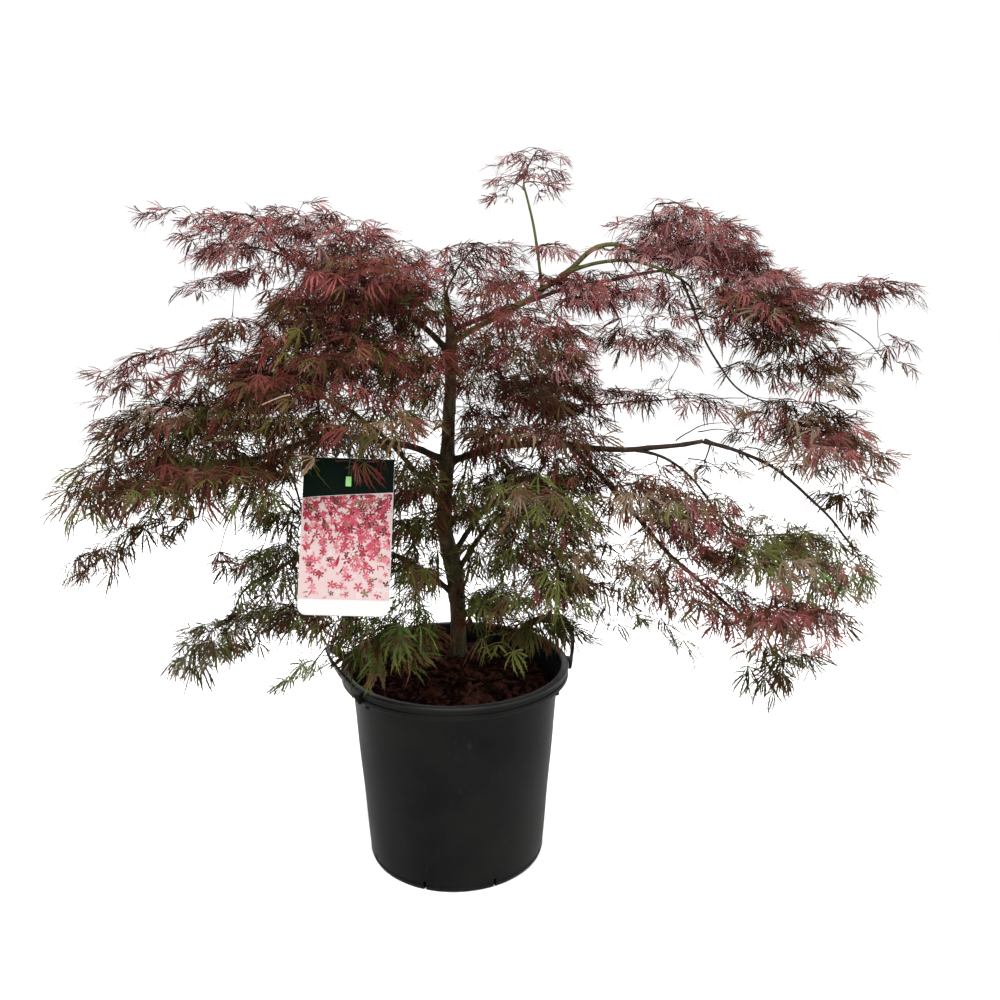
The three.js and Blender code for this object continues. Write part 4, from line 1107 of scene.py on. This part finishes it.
def main_stem(mass, spread):
    """A stem from the nearest limb through the middle of a mass to its far tip."""
    target = mass.world(0, 0, mass.height(0, 0, spread))
    p0, d0, r0, parent, _ = skeleton.best(target, first=True)
    l0 = mass.local(p0)
    start = np.array([l0[0], l0[1]])
    gap = -start
    if np.linalg.norm(gap) < 0.35 * min(mass.a, mass.b):
        out = mass.at[:2] - FOOT
        c, s = math.cos(mass.turn), math.sin(mass.turn)
        gap = np.array([out[0] * c + out[1] * s, -out[0] * s + out[1] * c])
        if np.linalg.norm(gap) < 1:
            gap = np.array([1.0, 0.0])
    run = gap / np.linalg.norm(gap)
    turn = rng.normal(0, 0.2)
    run = np.array([run[0] * math.cos(turn) - run[1] * math.sin(turn), run[0] * math.sin(turn) + run[1] * math.cos(turn)])
    far = mass.reach(0, 0, run[0], run[1], 1.0)
    far = max(far - TIP_ROOM, far * 0.45)
    end = run * far
    near = mass.reach(0, 0, -run[0], -run[1], 1.0) * 0.8
    knots = [p0]
    if np.linalg.norm(start) > near * 1.15:
        mid = -run * near
        knots.append(mass.world(mid[0], mid[1], mass.height(mid[0], mid[1], spread)))
    if np.linalg.norm(start) > 12:
        knots.append(mass.world(0, 0, mass.height(0, 0, spread)))
    half = end * 0.55
    knots.append(mass.world(half[0], half[1], mass.height(half[0], half[1], spread)))
    knots.append(mass.world(end[0], end[1], mass.height(end[0], end[1], spread) - 4))
    first = p0 + unit(d0 + unit(knots[1] - p0) * 0.9) * min(24.0, 0.3 * np.linalg.norm(knots[1] - p0))
    knots.insert(1, first)
    length = sum(np.linalg.norm(np.subtract(k2, k1)) for k1, k2 in zip(knots, knots[1:]))
    count = max(10, int(length / 7))
    main = wander(catmull(knots, count), 3.0, 0.03, 5.0 + mass.index + 3 * spread)
    radii = np.linspace(min(r0 * 0.85, 0.9 + length / 170), 0.5, count)
    tube(twig_bin(mass.palette), main, radii, 6)
    tang = np.gradient(main, axis=0)
    for k in range(2, count):
        lp = mass.local(main[k])
        if k % 2 == 0 and mass.rho(lp[0], lp[1]) < 1.1:
            skeleton.add(main[k], tang[k], radii[k], mass.name)
    dress(main[int(count * 0.62):], 0.1, 0.96, mass.hang, spray_of(mass.palette))
    return p0


TIP_ROOM = 30.0
SPACING = 24.2
LIT, SHADED = 24.0, 70.0       # how many leaves over a spray leave it lit, or shade it


def seed_from(name):
    """A stream of random numbers of its own for each mass, fixed by its name."""
    global rng
    rng = np.random.default_rng(20 + sum(ord(c) * (i + 3) for i, c in enumerate(name)))


def grow(mass):
    """Fills a mass: a main stem for each layer, then shoots to evenly strewn tips."""
    seed_from(mass.name)
    entry = None
    for k in range(mass.layers):
        spread = np.linspace(0.72, -0.35, mass.layers)[k] if mass.layers > 1 else 0.5
        p0 = main_stem(mass, spread)
        entry = p0 if entry is None else entry
    room = min(TIP_ROOM - 4, (0.42 if mass.index < 60 else 0.28) * min(mass.a, mass.b))
    count = int(math.pi * mass.a * mass.b / SPACING ** 2 * mass.fill * (1 + 0.3 * (mass.layers - 1))) + 1
    tips = []
    for _ in range(count):
        chosen, widest = None, -1
        for _ in range(9):
            x, y = rng.uniform(-1.3, 1.3) * mass.a, rng.uniform(-1.3, 1.3) * mass.b
            if mass.rho(x, y) > 1:
                continue
            far = math.hypot(x, y) + 1e-6
            if mass.reach(x, y, x / far, y / far, 1.0) < room:
                continue
            level = rng.uniform(-0.95 if mass.layers > 3 else -0.6, 1.0) if mass.layers > 1 else rng.uniform(0.1, 1.0)
            away = min([math.hypot(x - t[0], y - t[1]) + 26 * abs(level - t[2]) for t in tips] or [999])
            if away > widest:
                chosen, widest = (x, y, level), away
        if chosen:
            tips.append(chosen)
    points = [(mass.world(x, y, mass.height(x, y, level)), x, y, level) for x, y, level in tips]
    points.sort(key=lambda t: float(np.linalg.norm(t[0] - entry)))
    upper, under = mass.palette, UNDER.get(mass.name, mass.palette)
    for q, x, y, level in points:
        if is_open(q):
            continue
        p, d, r, kind, _ = skeleton.best(q)
        length = float(np.linalg.norm(q - p))
        if length < 9:
            continue
        # painted shade: most lower shoots take the deeper under palette
        palette = under if level < 0.1 and rng.random() < 0.8 else upper
        shoot = bend_shoot(p, d, q, rng.uniform(0.0, 0.1), rng.uniform(0.0, 0.12) * (0.3 + mass.hang))
        n = len(shoot)
        thick = min(r * 0.8, 0.62 + length / 260)
        tube(twig_bin(palette), shoot, np.linspace(thick, 0.36, n), 4 if thick < 0.9 else 5)
        tang = np.gradient(shoot, axis=0)
        for k in range(2, n, 2):
            skeleton.add(shoot[k], tang[k], thick + (0.36 - thick) * k / (n - 1), mass.name)
        dress(shoot, 0.2 if length < 60 else 0.3, 1.0, mass.hang, spray_of(palette))


masses = [Mass(i, row) for i, row in enumerate(MASSES)] + [Mass(60 + i, row) for i, row in enumerate(FRINGES)]
for mass in sorted(masses, key=lambda m: math.hypot(m.at[0] - FOOT[0], m.at[1] - FOOT[1])):
    grow(mass)
seed_from("limb_ends")
# a limb's end that no stem continued gets a leafy tip of its own
for k, (p, d, r, kind, bonus) in enumerate(skeleton.rows):
    if bonus and not skeleton.used[k]:
        q = p + unit(d + UP * -0.3) * 46
        shoot = bend_shoot(p, d, q, 0.02, 0.1)
        tube(twigs["brown"], shoot, np.linspace(r * 0.9, 0.4, len(shoot)), 5)
        dress(shoot, 0.3, 0.95, 0.5, spray_of("bronze"))
for k, (name, root, tip, rise, radii) in enumerate(BARE):
    root, tip = np.array(root, float), np.array(tip, float)
    count = max(8, int(np.linalg.norm(tip - root) / 5))
    s = np.linspace(0, 1, count)[:, None]
    pts = wander(root + (tip - root) * s + UP * rise * np.sin(np.pi * s), 1.4, 0.05, 31.0 + k)
    tube(pale if name == "pale_a" else twigs["green" if name.startswith("pale") else "brown"], pts, np.linspace(*radii, count), 6)
    if name == "dead_twig":      # one withered leaf hangs folded from it
        for turn in (0.0, 1.3):
            leaves.append((tip, np.array([0.08, 0, -1.0]), np.array([math.sin(turn), -math.cos(turn), 0.0]), 34.0, spray_of("dark"), 9))
# no leaf reaches far past the masses' own outline
leaves = [l for l in leaves if -462 < l[0][0] + l[1][0] * l[3] < 584 and -250 < l[0][1] + l[1][1] * l[3] < 368]
print("leaves", len(leaves))

# ------------------------------------------------------- tints dealt out by spray
# A spray that has many leaves over it is shaded and is dealt a deeper tint.
feet = np.array([l[0] + l[1] * l[3] * 0.5 for l in leaves])
owner = np.array([l[4] for l in leaves])
cover = np.zeros(len(feet))
for k in range(len(feet)):
    d = feet - feet[k]
    over = (d[:, 2] > 10) & (d[:, 2] < 170) & (np.hypot(d[:, 0] + 0.25 * d[:, 2], d[:, 1] + 0.35 * d[:, 2]) < 34 + 0.22 * d[:, 2])
    cover[k] = over.sum()
spray_cover = np.array([cover[owner == k].mean() if (owner == k).any() else 0 for k in range(len(sprays))])
dealt = {}
seed_from("tints")
for k, palette in enumerate(sprays):
    c = spray_cover[k] * rng.uniform(0.7, 1.35)
    dealt[k] = pick(PALETTES[palette][2 if c < LIT else 1 if c < SHADED else 0])
print("cover quantiles", np.quantile(spray_cover, [0.1, 0.25, 0.5, 0.75, 0.9]))

# ---------------------------------------------------------- leaves joined by tint
SLOT = {"umber": "foliage_burgundy", "wine_dark": "foliage_burgundy", "wine": "foliage_burgundy", "wine_light": "foliage_burgundy",
        "dusty_red": "foliage_burgundy", "bronze_dark": "foliage_bronze", "bronze": "foliage_bronze", "tan": "foliage_bronze",
        "blush": "foliage_bronze", "green_dark": "foliage_green", "green": "foliage_green", "green_fresh": "foliage_green",
        "sage": "foliage_green", "moss": "foliage_green", "ember": "foliage_burgundy"}
LIMIT = 180000
total = 0
pieces = []
bins = {tint: [] for tint in TINTS}
for foot, fwd, up, size, spray, kind in leaves:
    tint = dealt[spray]
    if rng.random() < 0.12:
        tint = pick(PALETTES[sprays[spray]][1])
    other, often = ENDS[tint]
    bins[tint].append((foot, fwd, up, size, kind, 0))
    bins[other if rng.random() < often else tint].append((foot, fwd, up, size, kind, 1))
for tint, colour in TINTS.items():
    mat = leaf_material("leaf_" + tint, colour)
    pile, part = Pile(), 1
    for foot, fwd, up, size, kind, lot in bins[tint]:
        v, f = KINDS[kind][lot]
        side = np.cross(up, fwd)
        pile.add(foot + size * (v[:, :1] * fwd + v[:, 1:2] * side + v[:, 2:] * up), f)
        if pile.triangles() > LIMIT:
            pieces.append((pile.object(f"leaves_{tint}_{part}", mat), SLOT[tint]))
            total += pile.triangles()
            pile, part = Pile(), part + 1
    if pile.count:
        pieces.append((pile.object(f"leaves_{tint}_{part}", mat), SLOT[tint]))
        total += pile.triangles()
stalk_red = leaf_material("stalk_red", (0.050, 0.018, 0.013))
stalk_green = leaf_material("stalk_green", (0.055, 0.052, 0.018))
for name, mat, wanted in (("stalks_red", stalk_red, False), ("stalks_green", stalk_green, True)):
    pile = Pile()
    for p, q, spray in stalks:
        if (sprays[spray] in ("green", "rim", "fan", "olive")) == wanted:
            mid = (p + q) / 2 + UP * 1.6
            tube(pile, [p, mid, q], [0.42, 0.36, 0.32], 3, cap=False)
    if pile.count:
        pieces.append((pile.object(name, mat), "foliage_burgundy" if name == "stalks_red" else "foliage_green"))
        total += pile.triangles()
twig_brown = leaf_material("twig_brown", (0.017, 0.0105, 0.0065))
twig_green = leaf_material("twig_green", (0.034, 0.032, 0.012))
for name, mat in (("brown", twig_brown), ("green", twig_green)):
    pieces.append((twigs[name].object("twigs_" + name, mat, smooth=True), "bark"))
    total += twigs[name].triangles()
pieces.append((pale.object("twigs_pale", leaf_material("twig_pale", (0.165, 0.120, 0.085)), smooth=True), "bark"))
for ob, slot in pieces:
    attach(ob, "root")
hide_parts(*sorted(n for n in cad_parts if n.startswith("mass_")))
print("foliage triangles", total)


# ----------------------------------------------------------------------- label
def card_plate(name, mat, outline, depth, y):
    """A flat closed plate with the outline in the card's frame; y is its front."""
    pile = Pile()
    n = len(outline)
    verts = [label_world(x, y, z) for x, z in outline] + [label_world(x, y + depth, z) for x, z in outline]
    mid = np.mean(np.array(outline), axis=0)
    verts += [label_world(mid[0], y, mid[1]), label_world(mid[0], y + depth, mid[1])]
    tris, quads = [], []
    for i in range(n):
        j = (i + 1) % n
        tris += [(2 * n, i, j), (2 * n + 1, n + j, n + i)]
        quads.append((i, n + i, n + j, j))
    pile.add(verts, tris, quads)
    ob = pile.object(name, mat)
    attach(ob, "root")
    return ob


W, H, C = LABEL["width"] / 2, LABEL["height"] / 2, LABEL["corner"]
body = [(-W, H - 2), (-W + 2, H), (W - 2, H), (W, H - 2)]
body += [(W - C + C * math.cos(a), -H + C - C * math.sin(a)) for a in np.linspace(0, math.pi / 2, 7)]
body += [(-W + C - C * math.sin(a), -H + C - C * math.cos(a)) for a in np.linspace(0, math.pi / 2, 7)]
body = body[::-1]
card = card_plate("card_white", card_material("card_white", (0.285, 0.285, 0.28)), body, 0.9, -0.55)
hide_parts("label_card")
in_w = W - 0.2
head = [(-in_w, H - 0.3), (in_w, H - 0.3), (in_w, H - 34)]
head += [(x, H - 42 + 8 * ((x + in_w) / (2 * in_w)) ** 0.8) for x in np.linspace(in_w, -in_w, 12)[1:]]
card_plate("card_header", card_material("card_dark_green", (0.0010, 0.0030, 0.0018), 0.6, 0.08, 0.02), head[::-1], 0.3, -0.75)
field = [(x, H - 42.6 + 8 * ((x + in_w) / (2 * in_w)) ** 0.8) for x in np.linspace(-in_w, in_w, 12)]
field += [(in_w, -H + 16), (-in_w, -H + 16)]
card_plate("card_picture", card_material("card_pale_pink", (0.255, 0.195, 0.19)), field[::-1], 0.25, -0.68)
mark = [(-2.8, H - 29), (2.8, H - 29), (2.8, H - 19), (-2.8, H - 19)]
card_plate("card_mark", card_material("card_lime", (0.15, 0.33, 0.11)), mark, 0.25, -0.95)
# a generic pattern of five-petalled rosettes and loose petals over the picture
# field, deep red at the top, rose in the middle and pale at the foot
INKS = {"card_ink_deep": (0.038, 0.0050, 0.0060), "card_ink_red": (0.125, 0.0075, 0.0150), "card_ink_rose": (0.195, 0.026, 0.042),
        "card_ink_pink": (0.250, 0.074, 0.090), "card_ink_white": (0.275, 0.23, 0.225), "card_ink_stem": (0.090, 0.056, 0.026)}
SHARES = ((0.20, 0.36, 0.22, 0.06, 0.06, 0.10), (0.04, 0.26, 0.40, 0.22, 0.06, 0.02), (0.03, 0.20, 0.22, 0.25, 0.26, 0.04))
piles = {k: Pile() for k in INKS}
lay = 0
low, high = -H + 17, H - 36


def header_foot(x):
    return H - 42.6 + 8 * np.clip((x + in_w) / (2 * in_w), 0, 1) ** 0.8


def petal(tone, x, z, a, ln, wd):
    global lay
    lay += 1
    y = -0.70 - 0.00012 * lay
    rim = []
    for f, w in ((0.0, 0.12), (0.45, 0.85), (0.8, 1.0), (1.0, 0.45), (1.0, -0.45), (0.8, -1.0), (0.45, -0.85), (0.0, -0.12)):
        px, pz = x + f * ln * math.cos(a) - w * wd * math.sin(a), z + f * ln * math.sin(a) + w * wd * math.cos(a)
        px = np.clip(px, -W + 1.2, W - 1.2)
        rim.append(label_world(px, y, np.clip(pz, low, header_foot(px))))
    piles[tone].add(rim, [(0, k + 1, k) for k in range(1, 7)])


for wash in range(150):
    f = rng.uniform(0, 0.62) ** 1.1
    fx, fz = rng.uniform(-W + 3, W - 3), high - f * (high - low)
    if f > 0.36 and fx < -6:
        continue
    tone = list(INKS)[int(rng.choice(6, p=(0.10, 0.34, 0.30, 0.16, 0.0, 0.10) if f < 0.3 else (0.0, 0.16, 0.44, 0.38, 0.0, 0.02)))]
    petal(tone, fx, fz, rng.uniform(0, 2 * math.pi), rng.uniform(7, 13), rng.uniform(1.2, 2.4))
for bloom in range(620):
    fx, fz = rng.uniform(-W + 3, W - 3), rng.uniform(low, high)
    f = (high - fz) / (high - low) + rng.normal(0, 0.09)
    if f > 0.66 - 0.3 * (fx < 0) and rng.random() < 0.62:
        continue
    share = SHARES[0 if f < 0.24 else 1 if f < 0.62 else 2]
    tone = list(INKS)[int(rng.choice(6, p=share))]
    turn, size = rng.uniform(0, 2 * math.pi), rng.uniform(1.8, 4.8)
    if rng.random() < 0.6:
        for s in range(5):
            petal(tone, fx, fz, turn + s * 2 * math.pi / 5, size, size * 0.24)
    else:
        petal(tone, fx, fz, turn, size * 1.7, size * 0.22)
for tone, colour in INKS.items():
    if piles[tone].count:
        ob = piles[tone].object(tone, card_material(tone + "_print", colour))
        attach(ob, "root")
# the strap that loops up over a twig
pile = Pile()
strap = [label_world(x, y, z) for x, y, z in
         ((0, -1.4, H - 17), (0.2, -1.5, H - 8), (0.5, -1.2, H), (0.6, 0, H + 12), (0.2, 2.0, H + 22), (-1.2, 4.5, H + 28),
          (-3.0, 3.0, H + 24), (-2.0, 1.8, H + 12), (-0.6, 1.8, H + 2), (0, 1.6, H - 12), (0, 1.2, H - 17))]
tube(pile, catmull(strap, 48), np.full(48, 0.75), 8)
tie = pile.object("card_tie", card_material("card_tie_plastic", (0.012, 0.02, 0.014), 0.35), smooth=True)
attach(tie, "root")

# ------------------------------------------------------- floor, light and camera
floor_mat, nt, bsdf = material("floor_pale")
nt.links.new(mixed(nt, noise_at(nt, 3, 2), (0.93, 0.93, 0.93), (0.96, 0.96, 0.96)), bsdf.inputs["Base Color"])
bsdf.inputs["Roughness"].default_value = 0.9
bsdf.inputs["Specular IOR Level"].default_value = 0.1
mesh = bpy.data.meshes.new("floor")
mesh.from_pydata([(-12, -12, -0.0004), (12, -12, -0.0004), (12, 12, -0.0004), (-12, 12, -0.0004)], [], [(0, 1, 2, 3)])
mesh.materials.append(floor_mat)
floor = bpy.data.objects.new("floor", mesh)
bpy.context.scene.collection.objects.link(floor)

world = bpy.data.worlds.new("studio")
bpy.context.scene.world = world
world.use_nodes = True
world.node_tree.nodes["Background"].inputs["Color"].default_value = (1, 1, 1, 1)
world.node_tree.nodes["Background"].inputs["Strength"].default_value = 1.05


def area(name, at, to, size, power):
    light = bpy.data.lights.new(name, "AREA")
    light.shape, light.size, light.energy = "DISK", size, power
    ob = bpy.data.objects.new(name, light)
    ob.location = at
    ob.rotation_euler = (Vector(to) - Vector(at)).to_track_quat("-Z", "Y").to_euler()
    bpy.context.scene.collection.objects.link(ob)
    ob.visible_camera = False
    return ob


area("key", (-0.7, -1.0, 2.7), (0, 0, 0.5), 1.6, 140)
area("front", (0.5, -2.7, 1.0), (0, 0, 0.45), 2.0, 55)
area("fill", (2.2, -0.9, 1.5), (0, 0, 0.4), 1.2, 30)
area("back", (0.4, 2.2, 2.2), (0, 0, 0.5), 1.6, 40)
area("side", (2.0, 0.3, 0.6), (0.1, 0, 0.35), 0.9, 16)

cam = bpy.data.cameras.new("camera")
cam.sensor_width, cam.sensor_height, cam.sensor_fit = 36.0, 36.0, "AUTO"
cam.lens = 35.586
cam.clip_start, cam.clip_end = 0.05, 60
camera = bpy.data.objects.new("camera", cam)
camera.location = (0.0, -1.146125, 0.718075)
camera.rotation_euler = (math.pi / 2 - 0.2277, 0.0, -0.0482)
bpy.context.scene.collection.objects.link(camera)
bpy.context.scene.camera = camera
bpy.context.scene.view_settings.view_transform = "Standard"

bpy.context.view_layer.update()
